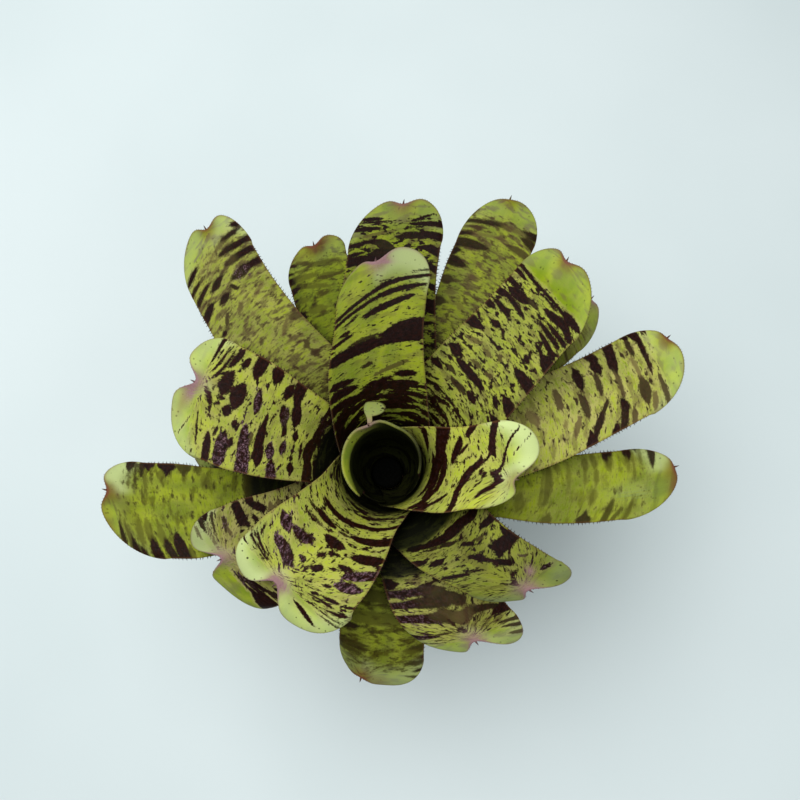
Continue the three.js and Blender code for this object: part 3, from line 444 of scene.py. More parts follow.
            (0, 31, -0.12, 34, 1.9, 0.85), (0.15, 33, 0.4, 33, 2.2, 0.9),
            (0.6, 30, 0.95, 31.5, 2.4, 0.95), (0.4, 39, 0.6, 42.5, 1.8, 0.75), (0.8, 44, 0.65, 44, 1.4),
            (-0.02, 41, 0.15, 42.5, 1.8, 0.6), (-0.15, 48.5, -0.05, 48, 1.3, 0.4),
            (-0.7, 40, -0.35, 42.5, 1.1, 0.45), (-0.95, 61, -0.75, 60.5, 2, 0.7),
            (-0.7, 60, -0.4, 64.5, 1.4, 0.5), (-0.7, 73.5, -0.6, 75.5, 2.2, 0.7),
            (-0.6, 80, -0.7, 80, 2.6, 0.7),
        ],
    },
    {
        "light": 1.12, "haze": 0.3, "blotch": 0.4, "fleck": 0.4, "milk": 0.8, "ghost": 0.65, "bare": 8,
        "pale": (0.3, 0.3), "rust": 1, "wild": 80, "cover": 0.35,
        "bands": [
            (0.85, 10, 0.65, 9, 1.4), (0.95, 15.5, 0.7, 14.5, 2.2), (0.7, 14, 0.3, 15, 1.4),
            (0.3, 15, -0.1, 15.5, 1.2, 0.9), (0.95, 19, 0.8, 18.5, 1.6), (0.8, 19.5, 0.4, 20, 1.5, 0.85),
            (0.4, 21.5, -0.1, 21, 1.1, 0.5), (0.97, 28, 0.45, 30.5, 2.6),
            (0.45, 31, -0.3, 31.5, 1.2, 0.7), (0.97, 38, 0.75, 36.5, 2.4), (0.75, 38.5, 0.5, 37.5, 2.8),
            (0.5, 40, 0, 41, 1.6, 0.8), (0.8, 47.5, 0.35, 48.5, 2.6), (0.2, 50.5, -0.35, 50, 2, 0.8),
            (0.55, 60.5, 0.1, 61, 2, 0.7), (-0.15, 21, -0.6, 21.5, 3, 0.8),
            (-0.5, 17.5, -0.85, 18.5, 1.6, 0.6), (-0.2, 12.5, -0.8, 12, 1.6, 0.75),
            (-0.35, 33, -0.55, 32, 2), (-0.55, 32.5, -0.95, 34.5, 2, 0.9),
            (-0.65, 28.5, -0.95, 29, 1.4, 0.7), (-0.2, 39.5, -0.5, 44, 1.6, 0.85),
            (-0.45, 44, -0.8, 48, 2.6, 0.9), (-0.3, 54.5, -0.6, 57.5, 2, 0.6),
            (-0.85, 38, -0.97, 38.5, 2), (-0.92, 50.5, -0.99, 50.5, 3), (-0.2, 61, -0.35, 61.5, 1.2, 0.4),
            (0, 74, 0.3, 76, 3, 0.5),
        ],
        "spots": [
            ("brown", 0.3, 0, 0.16, 3, 0.8),
        ],
    },
    {
        "tone": 0.4, "light": 0.84, "haze": 0.55, "blotch": 0.68, "fleck": 0.45, "milk": 0.3, "ghost": 1,
        "bare": 10, "pale": (0.2, 0.2), "blush": 0.3, "rust": 1, "wild": 75, "cover": 0.3,
        "bands": [
            (0.85, 20, 0, 16.5, 1.5, 0.85), (0, 16.5, -0.6, 14.5, 1.4, 0.5),
            (-0.6, 14, -0.97, 12, 2.3, 0.9), (0.85, 23, 0.3, 21, 1, 0.7),
            (0.9, 26.5, 0.6, 25.5, 1.5, 0.85), (0.6, 25.5, -0.3, 22.5, 1, 0.35),
            (0.95, 31.5, 0.15, 31, 2.6, 0.85), (-0.55, 17.5, -0.95, 17.5, 2.5, 0.85),
            (-0.3, 24.5, -0.9, 24, 2.1, 0.7), (0.97, 37, 0.8, 36, 2.2, 0.9),
            (0.97, 41.5, 0.55, 43, 3, 0.85), (0.3, 47, 0.05, 47, 2, 0.35), (0.9, 52, 0.7, 52, 2.6, 0.75),
            (0.75, 58, 0.5, 58, 1.8, 0.4), (0.95, 63.5, 0.72, 63.5, 2.6, 0.75),
            (0.3, 63, 0.1, 64, 2, 0.35), (0.6, 72, 0.5, 72, 1.5, 0.35), (-0.8, 5, -0.97, 8, 1.5, 0.5),
        ],
    },
    {
        "tone": 0.6, "light": 0.93, "haze": 0.6, "blotch": 0.2, "fleck": 0.2, "milk": 0.3, "ghost": 0.45,
        "bare": 9, "pale": (0.1, 0.7), "rust": 1, "wild": 85, "cover": 0.3,
        "bands": [
            (0.97, 12, 0.35, 12, 2.2, 0.85), (0.99, 19, 0.9, 19, 1.2, 0.8),
            (0.9, 17.5, 0.45, 17.8, 1, 0.5), (0.99, 22.8, 0.8, 23, 2.4, 0.95),
            (0.8, 23.5, 0.3, 23.5, 1.2, 0.45), (0.9, 21, 0.1, 21, 0.8, 0.4),
            (0.99, 32, 0.85, 32.5, 2.6, 0.95), (0.85, 32, 0.45, 32, 1.8, 0.5),
            (0.9, 39, 0.55, 38.8, 1.5, 0.5), (0.5, 38.5, 0.1, 38.3, 1.4, 0.5),
            (0.85, 43, 0.5, 43, 1.6, 0.5), (0.45, 43.5, 0.1, 43.5, 1, 0.4), (0.8, 51, 0, 51, 1.2, 0.35),
            (0.85, 56, 0.5, 56, 1.4, 0.4), (0.8, 60, -0.45, 61, 2, 0.55), (0.3, 62.8, -0.5, 63.5, 1, 0.4),
            (-0.2, 73, -0.7, 72, 2.5, 0.35), (-0.1, 39, -0.45, 39.5, 2, 0.4),
            (-0.4, 30, -0.97, 31.5, 1.8, 0.7), (-0.8, 41, -0.99, 40.5, 3.6, 0.8),
            (-0.8, 57.5, -0.97, 57.5, 2.4, 0.6), (-0.35, 20.5, -0.9, 22, 1.2, 0.55),
            (-0.6, 25, -0.97, 27.5, 1.4, 0.6),
        ],
        "spots": [
            ("brown", -0.1, -2, 0.4, 5, 0.8), ("grey", -0.2, 22, 0.25, 12, 0.35),
        ],
    },
    {
        "tone": 0.75, "light": 0.86, "haze": 0.55, "blotch": 0.62, "fleck": 0.5, "milk": 0.2, "ghost": 1,
        "bare": 4, "pale": (0.2, 0.5), "rust": 1, "fan": 16, "wild": 50, "cover": 0.5,
        "bands": [
            # The first band here is painted shadow, where the leaf above shades this one.
            (-0.97, 26.5, -0.55, 27, 1.8, 0.85), (-0.95, 20.5, -0.8, 20.8, 0.8, 0.9),
            (-0.97, 19.5, -0.3, 18.5, 1.6, 0.7), (-0.97, 18, -0.25, 17, 1.2, 0.75),
            (-0.97, 16, -0.4, 15.5, 1.2, 0.7), (-0.99, 16.5, -0.85, 16, 1, 0.9),
            (-0.95, 10.5, -0.85, 11, 0.6, 0.8), (-0.95, 6.5, -0.85, 7, 0.8, 0.8),
            (0.6, 18, 0.97, 17.5, 1.8, 0.75), (0.5, 17, 0.8, 17, 1.5, 0.55),
            (0.85, 13.5, 0.99, 13, 1.2, 0.95), (0.75, 14, 0.9, 13.5, 1, 0.6),
            (0.5, 11.5, 0.9, 11, 1.4, 0.75), (0.65, 6.5, 0.97, 6.5, 1.2, 0.85),
            # The last two bands here run across the whole width: painted shade, where a leaf above shades
            # this one.
            (0.5, 2.5, 0.75, 1.5, 1.2, 0.7), (-0.9, 32, 0.9, 31, 3, 0.5), (-0.9, 42, 0.9, 41, 3, 0.6),
        ],
        "spots": [
            # The olive spots here are painted shade on the margins either side of the lit middle.
            ("brown", 0, -4, 0.2, 5, 0.5), ("olive_shade", -0.7, 20, 0.5, 9, 0.5),
            ("olive_shade", 0.75, 16, 0.35, 10, 0.5),
        ],
    },
    {
        "tone": 0.6, "light": 0.95, "haze": 0.5, "blotch": 0.3, "milk": 0.2, "ghost": 0.7, "bare": 8,
        "pale": (0.8, 0.1), "blush": 0.7, "rust": 1, "fan": 14, "wild": 60, "cover": 0.3, "cup_from": 64,
        "bands": [
            (-0.8, 13, -0.99, 13.5, 2.2, 0.9), (-0.8, 13.5, -0.35, 13, 0.5, 0.6),
            (-0.9, 16, -0.35, 15.5, 0.8, 0.75), (-0.97, 18.5, -0.6, 18.5, 1.4, 0.85),
            (-0.85, 21, -0.99, 21, 3), (-0.75, 20, -0.3, 20, 1.2, 0.5), (-0.85, 22.8, -0.5, 23, 0.6, 0.6),
            (-0.83, 29.5, -0.99, 29, 4.3), (-0.8, 27, -0.6, 27, 2, 0.5), (-0.85, 37, -0.99, 37, 3.5, 0.7),
            (-0.85, 43, -0.97, 43, 1.6, 0.6), (-0.35, 18, -0.15, 18.3, 0.9, 0.6),
            (-0.85, 46, -0.5, 46, 1.5, 0.3), (0.25, 5, 0.6, 5, 1.8, 0.85), (0.05, 7.5, 0.3, 6, 0.7, 0.6),
            (0.5, 10, 0.85, 10.5, 2, 0.9), (0.2, 8.5, 0.55, 8.5, 1.2, 0.5),
            (0.65, 13, 0.97, 14, 1.5, 0.9), (0.2, 14.5, 0.6, 14, 1.6, 0.5), (0.2, 18, 0.5, 18, 2, 0.45),
            (0.55, 18.5, 0.97, 19, 2.4, 0.95), (0.3, 23.5, 0.6, 23, 1.8, 0.4),
            (0.55, 24, 0.97, 25.5, 2.2, 0.9), (0.5, 30, 0.97, 30, 3, 0.95),
            # The last band here is painted shade, where this leaf runs into the dark below the tube.
            (0.75, 34, 0.97, 33.5, 1.4, 0.6), (-0.97, 67, 0.2, 68, 4),
        ],
        "spots": [
            ("olive_shade", 0, 11, 0.7, 4, 0.6), ("brown", 0.3, -3, 0.25, 3, 0.5),
        ],
    },
    {
        "tone": 0.55, "light": 0.78, "haze": 0.5, "blotch": 0.45, "milk": 0.1, "ghost": 1, "bare": 6,
        "pale": (0.2, 0.1), "blush": 0.7, "rust": 1, "wild": 55, "cover": 0.3,
        "bands": [
            (0.45, 6.5, 0.1, 10.5, 1.6, 0.6), (0.1, 11, -0.5, 12.5, 1.6, 0.55),
            (-0.5, 12.5, -0.65, 12.5, 1.6, 0.5), (0.62, 6.5, 0.5, 7.5, 1.4), (0.85, 10, 0.65, 11, 1, 0.9),
            (0.6, 11, 0.2, 13, 1, 0.55), (0.97, 13.5, 0.75, 14.5, 2), (0.75, 14.5, 0.1, 16.8, 1.8, 0.5),
            (0, 18.3, -0.5, 19, 1.4, 0.5), (0.97, 19, 0.75, 19, 1.8), (0.5, 20.5, -0.2, 24.5, 1.4, 0.5),
            (0.97, 24, 0.85, 24, 1), (0.85, 25, 0.55, 26.5, 1.8, 0.4), (0.6, 32.5, 0.1, 34.5, 2.4, 0.4),
            (0.97, 31, 0.9, 32, 1.8, 0.9), (0.85, 33, 0.75, 34, 1.3, 0.9), (-0.3, 35, -0.42, 33, 3, 0.95),
        ],
        "spots": [
            ("brown", -0.25, -1, 0.3, 4, 0.5), ("brown", 0.35, 4, 0.25, 3, 0.35),
        ],
    },
    {
        "tone": 0.45, "light": 0.8, "haze": 0.6, "blotch": 0.2, "fleck": 0.2, "bare": 8,
        "pale": (0.2, 0.2), "wild": 8, "cover": 0.25, "cup_from": 50,
    },
    {
        "tone": 0.7, "light": 0.8, "haze": 0.6, "blotch": 0.3, "bare": 8, "pale": (0.2, 0.2), "wild": 8,
        "cup_from": 8,
    },
]


def smooth(x):
    t = np.clip(x, 0.0, 1.0)
    return t * t * (3 - 2 * t)


def lerp(a, b, t):
    return a + (b - a) * t


def bell(x, centre, spread):
    return np.exp(-(((x - centre) / spread) ** 2))


def heading(degrees):
    return np.array([math.cos(math.radians(degrees)), math.sin(math.radians(degrees))])


def unit(vectors):
    lengths = np.linalg.norm(vectors, axis=-1, keepdims=True)
    return vectors / np.maximum(lengths, LEAST_LENGTH)


def srgb(red, green, blue):
    """A colour as the eye names it, 0 to 255, as the linear colour that a shader takes."""
    parts = np.array([red, green, blue]) / 255
    linear = np.where(parts <= 0.04045, parts / 12.92, ((parts + 0.055) / 1.055) ** 2.4)
    return (*[float(part) for part in linear], 1.0)


def bezier(a, b, c, d, t):
    t = t[:, None]
    return (1 - t) ** 3 * a + 3 * (1 - t) ** 2 * t * b + 3 * (1 - t) * t ** 2 * c + t ** 3 * d


# The shape of a leaf
def midrib(leaf, level):
    """The midrib as radius and height along its length: the sheath, then the blade."""
    t = np.linspace(0, 1, LINE_STEPS)
    foot = np.array([FOOT["radius"], FOOT["z"]])
    top = np.array([SHOULDER["radius"], SHOULDER["z"]])
    rise = np.linalg.norm(top - foot)
    lift_off = foot + heading(FOOT["angle"]) * rise * SHEATH_PULL["foot"]
    run_in = top - heading(SHOULDER["angle"]) * rise * SHEATH_PULL["shoulder"]
    sheath = bezier(foot, lift_off, run_in, top, t)
    order = level + INNER_SPREAD * (1 - 0.5 ** level)
    sheath[:, 0] += order * t * SHOULDER["step"]
    sheath[:, 1] -= order * lerp(FOOT["drop"], SHOULDER["drop"], t)
    shoulder = sheath[-1]
    onward = unit(shoulder - sheath[-2])
    tip = np.array([leaf["reach"], leaf["tip_z"]])
    span = np.linalg.norm(tip - shoulder)
    blade = bezier(
        shoulder,
        shoulder + onward * span * leaf["pull"],
        tip - heading(leaf["tip_angle"]) * span * EASE,
        tip,
        t[1:],
    )
    line = np.vstack([sheath, blade])
    steps = np.diff(line, axis=0)
    lengths = np.concatenate([[0], np.cumsum(np.linalg.norm(steps, axis=1))])
    return {
        "line": line,
        "lengths": lengths,
        "middles": (lengths[1:] + lengths[:-1]) / 2,
        "slopes": np.arctan2(steps[:, 1], steps[:, 0]),
        "sheath": lengths[LINE_STEPS - 1],
        "length": lengths[-1],
    }


def half_width(leaf, rib, s):
    blade_length = rib["length"] - rib["sheath"]
    full_at = rib["sheath"] * WIDTH["full"]
    narrowed_at = rib["sheath"] + blade_length * WIDTH["narrowed"]
    wrap = lerp(FOOT["half_width"], leaf["sheath"], smooth(s / full_at))
    q = (s - rib["sheath"]) / blade_length
    change = smooth((q - WIDTH["change_start"]) / WIDTH["change_length"])
    blade = leaf["half"] * lerp(leaf["neck"], 1, change)
    return lerp(wrap, blade, smooth((s - full_at) / (narrowed_at - full_at)))


def flat_place(leaf, rib, u, v):
    """Where a point of the sheet lies on the leaf as if it were laid flat, and how near the tip it is."""
    s = v * rib["length"]
    warped = leaf["rounding"] + abs(leaf["skew"])
    reach_back = leaf["taper"] or max(TAPER_LEAST, TAPER_RATIO * warped)
    ramp = np.clip((s - (rib["length"] - reach_back)) / reach_back, 0, 1) ** 2
    phi = u * math.pi / 2
    x = half_width(leaf, rib, s) * lerp(u, np.sin(phi), ramp)
    along = s - leaf["rounding"] * (1 - np.cos(phi)) * ramp + leaf["skew"] * u * ramp
    along = along - leaf["notch"] * bell(u, leaf["at"], leaf["spread"]) * ramp
    return x, np.maximum(along, 0), ramp


def leaf_point(leaf, rib, u, v):
    """The sheet's middle surface. u runs from -1 to 1 across and v from 0 to 1 along."""
    x, along, ramp = flat_place(leaf, rib, u, v)
    away = 1 - bell(u, leaf["at"], DROOP_SPREAD * leaf["spread"])
    curl = leaf["droop"] * (1 + leaf["droop_skew"] * u) * ramp ** 2 * away
    flare = leaf["flare"] * ramp ** 2 * smooth((u - leaf["at"]) / FLARE_SPREAD + 1)
    lift = MUCRO_LIFT * ramp ** 3 * bell(u, leaf["at"], leaf["spread"]) - curl - flare
    radius = np.interp(along, rib["lengths"], rib["line"][:, 0])
    height = np.interp(along, rib["lengths"], rib["line"][:, 1])
    slope = np.interp(along, rib["middles"], rib["slopes"])
    q = (along - rib["sheath"]) / (rib["length"] - rib["sheath"])
    opened = smooth(q / leaf["flat"])
    curvature = (1 - opened) / radius + opened * leaf["channel"]
    curvature = np.maximum(curvature, TINY)
    bend = curvature * x
    across = np.sin(bend) / curvature - lift * np.sin(bend)
    inward = (1 - np.cos(bend)) / curvature + lift * np.cos(bend)
    rising = unit(np.stack([opened - 1 - opened * np.sin(slope), opened * np.cos(slope)], axis=-1))
    turn = math.radians(leaf["roll"]) * smooth(q)
    side = across * np.cos(turn) - inward * np.sin(turn)
    side = side + leaf["sway"] * np.maximum(q, 0) ** 2 + leaf["shift"] * smooth(q / SHIFT_LENGTH)
    raised = across * np.sin(turn) + inward * np.cos(turn)
    out = radius + rising[..., 0] * raised
    up = height + rising[..., 1] * raised
    c, d = heading(leaf["az"])
    return np.stack([out * c - side * d, out * d + side * c, up], axis=-1)


def leaf_normal(leaf, rib, u, v):
    """Unit normal of the middle surface, pointing to the upper face."""
    right = leaf_point(leaf, rib, np.maximum(u - NORMAL_STEP, -1), v)
    left = leaf_point(leaf, rib, np.minimum(u + NORMAL_STEP, 1), v)
    below = leaf_point(leaf, rib, u, np.maximum(v - NORMAL_STEP, 0))
    above = leaf_point(leaf, rib, u, np.minimum(v + NORMAL_STEP, 1))
    return unit(np.cross(above - below, left - right))


def band_marks(look, u, back, width):
    """Depth in mm inside the nearest listed band, negative outside, how dark and violet it is there, and
    how loosely its edge is drawn, which is most outside a band and least well inside it."""
    depth = np.full_like(back, -BAND["reach"])
    weight = np.full_like(back, TINY)
    strength = weight.copy()
    violet_scurf_and_sheen = weight * BAND["violet_scurf_and_sheen"]
    loose = weight * BAND["usual_width"]
    ends = [end for band in look["bands"] for end in (band[0:2], band[2:4])]

    def narrows(end):
        """An end narrows unless it is at the margin or another band goes on from it."""
        across, along = BAND["joined"]
        near = [(x, y) for x, y in ends if abs(x - end[0]) < across and abs(y - end[1]) < along]
        return abs(end[0]) < BAND["near_margin"] and len(near) < 2

    for band in look["bands"]:
        start, from_back, end, to_back, half = band[:5]
        dark, sheen = (*band[5:], *(1.0, BAND["violet_scurf_and_sheen"])[len(band) - 5:])
        t = np.clip((u - start) / (end - start), 0, 1)
        low, high = min(start, end), max(start, end)
        low = -1 if low < -BAND["to_margin"] else low
        high = 1 if high > BAND["to_margin"] else high
        beyond = np.maximum(np.maximum(low - u, u - high), 0) * width
        power = BAND["narrow_power"]
        narrowed = narrows((start, from_back)) * (1 - t) ** power + narrows((end, to_back)) * t ** power
        wide = half * (1 - BAND["narrowing"] * narrowed) + BAND["widening"]
        inside = wide - np.abs(back - lerp(from_back, to_back, t))
        inside = np.clip(inside - BAND["end_fall"] * beyond, -BAND["reach"], BAND["reach"])
        share = np.exp(inside / BAND["blend"])
        depth = np.maximum(depth, inside)
        weight = weight + share
        strength = strength + share * dark
        violet_scurf_and_sheen = violet_scurf_and_sheen + share * sheen
        loose = wide + share * half
    return depth, strength / weight, violet_scurf_and_sheen / weight, loose / weight


def mark_places(leaf, look, rib, u, v):
    """How far back from the notch a point is, measured so that lines of one distance run as the bands do,
    and what else the colours depend on."""
    x, along, ramp = flat_place(leaf, rib, u, v)
    at = np.array(leaf["at"], float)
    notch_x, notch_along, _ = flat_place(leaf, rib, at, np.array(1.0))
    width = half_width(leaf, rib, np.clip(along, 0, rib["length"]))
    dx = x - notch_x
    side = np.where(dx > 0, width - notch_x, width + notch_x)
    side = np.maximum(side, np.abs(dx) + PLACE["side_clear"])
    dy = notch_along - along
    straight = np.clip(smooth(dy / look["fan"]), PLACE["fan_least"], 1)
    drawn = side / np.sqrt(dx ** 2 + (side ** 2 - dx ** 2) * straight)
    back = np.where(dy > 0, dy * drawn, dy)
    back = back + look["bow"] * (1 - u ** 2) * smooth(dy / PLACE["bow_run"])
    back = back + look["slant"] * x * smooth(dy / PLACE["slant_run"])
    from_notch = np.hypot(dx, dy)
    margin = width * (1 - np.abs(np.sin(u * math.pi / 2)))
    tip_gap = (1 - v) * rib["length"]
    edge = np.minimum(lerp(width * (1 - np.abs(u)), margin, ramp), tip_gap)
    right, left = look["pale"]
    # Whitish lobes beside the notch: partly their own paler green, partly a painted highlight where a lobe
    # faces the light.
    pale_and_lit_lobe = smooth((PLACE["lobe_reach"] - tip_gap) / PLACE["lobe_run"])
    pale_and_lit_lobe = pale_and_lit_lobe * smooth(from_notch / PLACE["lobe_clear"])
    pale_and_lit_lobe = pale_and_lit_lobe * lerp(right, left, smooth(dx / PLACE["lobe_blend"] + 0.5))
    rim = PLACE["rim_blush"] * bell(tip_gap, 0, PLACE["rim_width"]) * bell(from_notch, 0, look["rim"])
    blush = bell(from_notch, 0, PLACE["blush_reach"]) + rim
    # Painted shade: darker towards the leaf's foot deep in the tank, and back from cup_from, where the leaf
    # lies in shadow.
    cup_shade = 1 - smooth((along - rib["sheath"] * PLACE["cup_start"]) / PLACE["cup_length"])
    cup_shade = np.maximum(cup_shade, smooth((back - look["cup_from"]) / PLACE["cup_run"]))
    depth, strength, violet_scurf_and_sheen, loose = band_marks(look, u, back, width)
    spots = {kind: np.zeros_like(x) for kind in ("pink", "brown", "grey", "olive_shade", "cup_shade")}
    for kind, across, place, reach_across, reach_back, amount in look["spots"]:
        patch = amount * bell(u, across, reach_across) * bell(back, place, reach_back)
        spots[kind] = np.maximum(spots[kind], patch)
    shade = spots["cup_shade"] * lerp(PLACE["rim_shade"], 1.0, smooth(tip_gap / PLACE["rim_run"]))
    return {
        "grain": (x, back),
        "wild": smooth((back - look["wild"]) / PLACE["wild_run"]),
        "bare": smooth((look["bare"] - back + PLACE["bare_lead"]) / PLACE["bare_run"]),
        "pale_and_lit_lobe": pale_and_lit_lobe,
        "blush": np.clip(blush * look["blush"] + spots["pink"], 0, 1),
        "brown": spots["brown"],
        "grey": spots["grey"],
        "olive_shade": spots["olive_shade"],
        "cup_shade": np.clip(cup_shade + shade, 0, 1),
        "edge": edge,
        "depth": depth,
        "strength": strength,
        "violet_scurf_and_sheen": violet_scurf_and_sheen,
        "loose": loose,
    }


def leaf_parameters(rib):
    """Values of u and v of the fine grid: rows of one length, columns closer at the margins."""
    blade_length = rib["length"] - rib["sheath"]
    sheath_rows = round(rib["sheath"] / SHEATH_ROW_LENGTH)
    blade_rows = round(blade_length / ROW_LENGTH)
    share = rib["sheath"] / rib["length"]
    t = np.linspace(0, 1, blade_rows + 1)
    blade = lerp(share, 1, t + TIP_CLOSER * t * (1 - t))
    v = np.concatenate([np.linspace(0, share, sheath_rows + 1)[:-1], blade])
    even = np.linspace(-1, 1, COLUMNS + 1)
    u = lerp(even, np.sin(even * math.pi / 2), MARGIN_CLOSER)
    return u, v


class Builder:
    """Gathers points, faces and values at the points for one mesh."""

    def __init__(self):
        self.points = []
        self.faces = []
        self.values = {}
        self.count = 0

    def add(self, points, faces, values):
        points = np.asarray(points, float).reshape(-1, 3)
        self.points.append(points)
        self.faces.extend([tuple(int(k) + self.count for k in face) for face in faces])
        for name, value in values.items():
            shape = (len(points), 3) if np.ndim(value) and np.shape(value)[-1] == 3 else (len(points),)
            self.values.setdefault(name, []).append(np.broadcast_to(value, shape))
        self.count += len(points)

    def object(self, name, material, smooth_faces=True):
        mesh = bpy.data.meshes.new(name)
        points = np.vstack(self.points) * MM
        mesh.from_pydata(points.tolist(), [], self.faces)
        for key, parts in self.values.items():
            joined = np.concatenate(parts)
            kind, field = ("FLOAT_VECTOR", "vector") if joined.ndim == 2 else ("FLOAT", "value")
            attribute = mesh.attributes.new(key, kind, "POINT")
            attribute.data.foreach_set(field, joined.ravel().astype(np.float32))
        mesh.polygons.foreach_set("use_smooth", np.full(len(mesh.polygons), smooth_faces))
        mesh.materials.append(material)
        mesh.update()
        made = bpy.data.objects.new(name, mesh)
        bpy.context.scene.collection.objects.link(made)
        return made


def leaf_mesh(leaf, look, level, rng):
    """Both faces of the leaf, its rounded edge, its spines and the point in its notch."""
    rib = midrib(leaf, level)
    us, vs = leaf_parameters(rib)
    u, v = np.meshgrid(us, vs)
    middle = leaf_point(leaf, rib, u, v)
    normal = leaf_normal(leaf, rib, u, v)
    share = rib["sheath"] / rib["length"]
    thick = lerp(SHEET["foot"], SHEET["blade"], smooth((v - share) / SHEET["thickening"]))
    half = lerp(thick, SHEET["margin"], u ** 4)[..., None] / 2
    marks = mark_places(leaf, look, rib, u, v)
    grain_seed = PLACE["grain_step"] * level
    rows, columns = u.shape
    number = np.arange(rows * columns).reshape(rows, columns)

    def values_at(pick, under, spine):
        x, back = (part[pick] for part in marks["grain"])
        found = {key: marks[key][pick].ravel() for key in marks if key != "grain"}
        found["grain"] = np.stack([x.ravel(), back.ravel(), np.full(x.size, grain_seed)], axis=-1)
        found["under"] = float(under)
        found["spine"] = spine
        return found

    everything = (slice(None), slice(None))
    a, b, c, d = number[:-1, :-1], number[:-1, 1:], number[1:, 1:], number[1:, :-1]
    upper_faces = np.stack([a, d, c, b], axis=-1).reshape(-1, 4)
    lower_faces = np.stack([a, b, c, d], axis=-1).reshape(-1, 4)
    builder = Builder()
    builder.add(middle + normal * half, upper_faces, values_at(everything, 0, 0.0))
    builder.add(middle - normal * half, lower_faces, values_at(everything, 1, 0.0))

    last_row, last_column = rows - 1, columns - 1
    ring = [(0, i) for i in range(last_column)]
    ring += [(j, last_column) for j in range(last_row)]
    ring += [(last_row, i) for i in range(last_column, 0, -1)]
    ring += [(j, 0) for j in range(last_row, 0, -1)]
    ring = np.array(ring)
    inner_rows = np.clip(ring[:, 0], 1, last_row - 1)
    inner_columns = np.clip(ring[:, 1], 1, last_column - 1)
    at_ring = (ring[:, 0], ring[:, 1])
    outward = unit(middle[at_ring] - middle[inner_rows, inner_columns])
    bulge = EDGE["bulge"] + EDGE["growth"] * (half[at_ring] - SHEET["margin"] / 2)
    rim = middle[at_ring] + outward * bulge
    upper_ring = number[at_ring]
    lower_ring = upper_ring + number.size
    rim_ring = np.arange(len(ring)) + 2 * number.size
    strips = []
    for first, second in ((upper_ring, rim_ring), (rim_ring, lower_ring)):
        strips.append(np.stack([first, np.roll(first, -1), np.roll(second, -1), second], axis=-1))
    rim_faces = np.vstack(strips) - 2 * number.size
    builder.add(rim, rim_faces, values_at(at_ring, 0.5, 0.0))
    spine_feet = vs * rib["length"] > rib["sheath"] + SPINE["clear"]
    add_spines(builder, ring, spine_feet, middle, normal, outward, values_at, rng)
    add_mucro(builder, int(np.argmin(np.abs(us - leaf["at"]))), middle, normal, values_at)
    return builder


def add_spines(builder, ring, spine_feet, middle, normal, outward, values_at, rng):
    """Small dark pyramids along both margins of the blade and round the tip. spine_feet says which rows of
    the grid may carry them."""
    last_row, columns = middle.shape[0] - 1, middle.shape[1]
    edge = middle[ring[:, 0], ring[:, 1]]
    steps = np.linalg.norm(np.roll(edge, -1, axis=0) - edge, axis=1)
    places = np.concatenate([[0], np.cumsum(steps)])
    here = 0.0
    chosen = []
    while here < places[-2]:
        k = int(np.searchsorted(places, here))
        row = ring[k, 0]
        if spine_feet[row]:
            chosen.append(k)
        pitch = SPINE["tip_pitch"] if row == last_row else SPINE["pitch"]
        here += pitch * rng.uniform(*SPINE["pitch_range"])
    for k in chosen:
        j, i = ring[k]
        ahead = unit(edge[(k + 1) % len(edge)] - edge[k - 1])
        towards_tip = ahead if 2 * i > columns else -ahead
        at_tip = j == last_row
        length = (SPINE["tip_length"] if at_tip else SPINE["length"]) * rng.uniform(*SPINE["length_range"])
        lean = 0 if at_tip else SPINE["lean"] * length * rng.uniform(*SPINE["lean_range"])
        base = edge[k] - outward[k] * SPINE["sunk"]
        apex = edge[k] + outward[k] * (length + EDGE["bulge"]) + towards_tip * lean
        along = ahead * SPINE["half_base"]
        across = normal[j, i] * SPINE["half_thick"]
        corners = np.array([base - along, base + across, base + along, base - across, apex])
        faces = [(3, 2, 1, 0), (0, 1, 4), (1, 2, 4), (2, 3, 4), (3, 0, 4)]
        pick = (np.array([j] * 5), np.array([i] * 5))
        builder.add(corners, faces, values_at(pick, 0.5, 1.0))


def add_mucro(builder, column, middle, normal, values_at):
    """The tapered point in the notch, which lies at this column of the grid's last row."""
    root = middle[-1, column]
    forward = unit(root - middle[-3, column])
    up = normal[-1, column]
    beside = unit(np.cross(forward, up))
    sides, rings = MUCRO["sides"], MUCRO["rings"]
    points = []
    for k in range(rings):
        t = k / rings
        centre = root + forward * lerp(-MUCRO["sunk"], MUCRO["length"], t) + up * MUCRO["lean"] * t ** 2
        radius = MUCRO["radius"] * (1 - t) ** MUCRO["taper"]
        for m in range(sides):
            angle = 2 * math.pi * m / sides
            flattened = up * radius * MUCRO["flatness"] * math.sin(angle)
            points.append(centre + beside * radius * math.cos(angle) + flattened)
    points.append(root + forward * MUCRO["length"] + up * MUCRO["lean"])
    faces = []
    for k in range(rings - 1):
        for m in range(sides):
            n = (m + 1) % sides
            faces.append((k * sides + m, k * sides + n, (k + 1) * sides + n, (k + 1) * sides + m))
    top = (rings - 1) * sides
    faces.extend([(top + m, top + (m + 1) % sides, len(points) - 1) for m in range(sides)])
    faces.append(tuple(reversed(range(sides))))
    pick = (np.full(len(points), middle.shape[0] - 1), np.full(len(points), column))
    builder.add(points, faces, values_at(pick, 0.5, np.linspace(0, 1, len(points))))


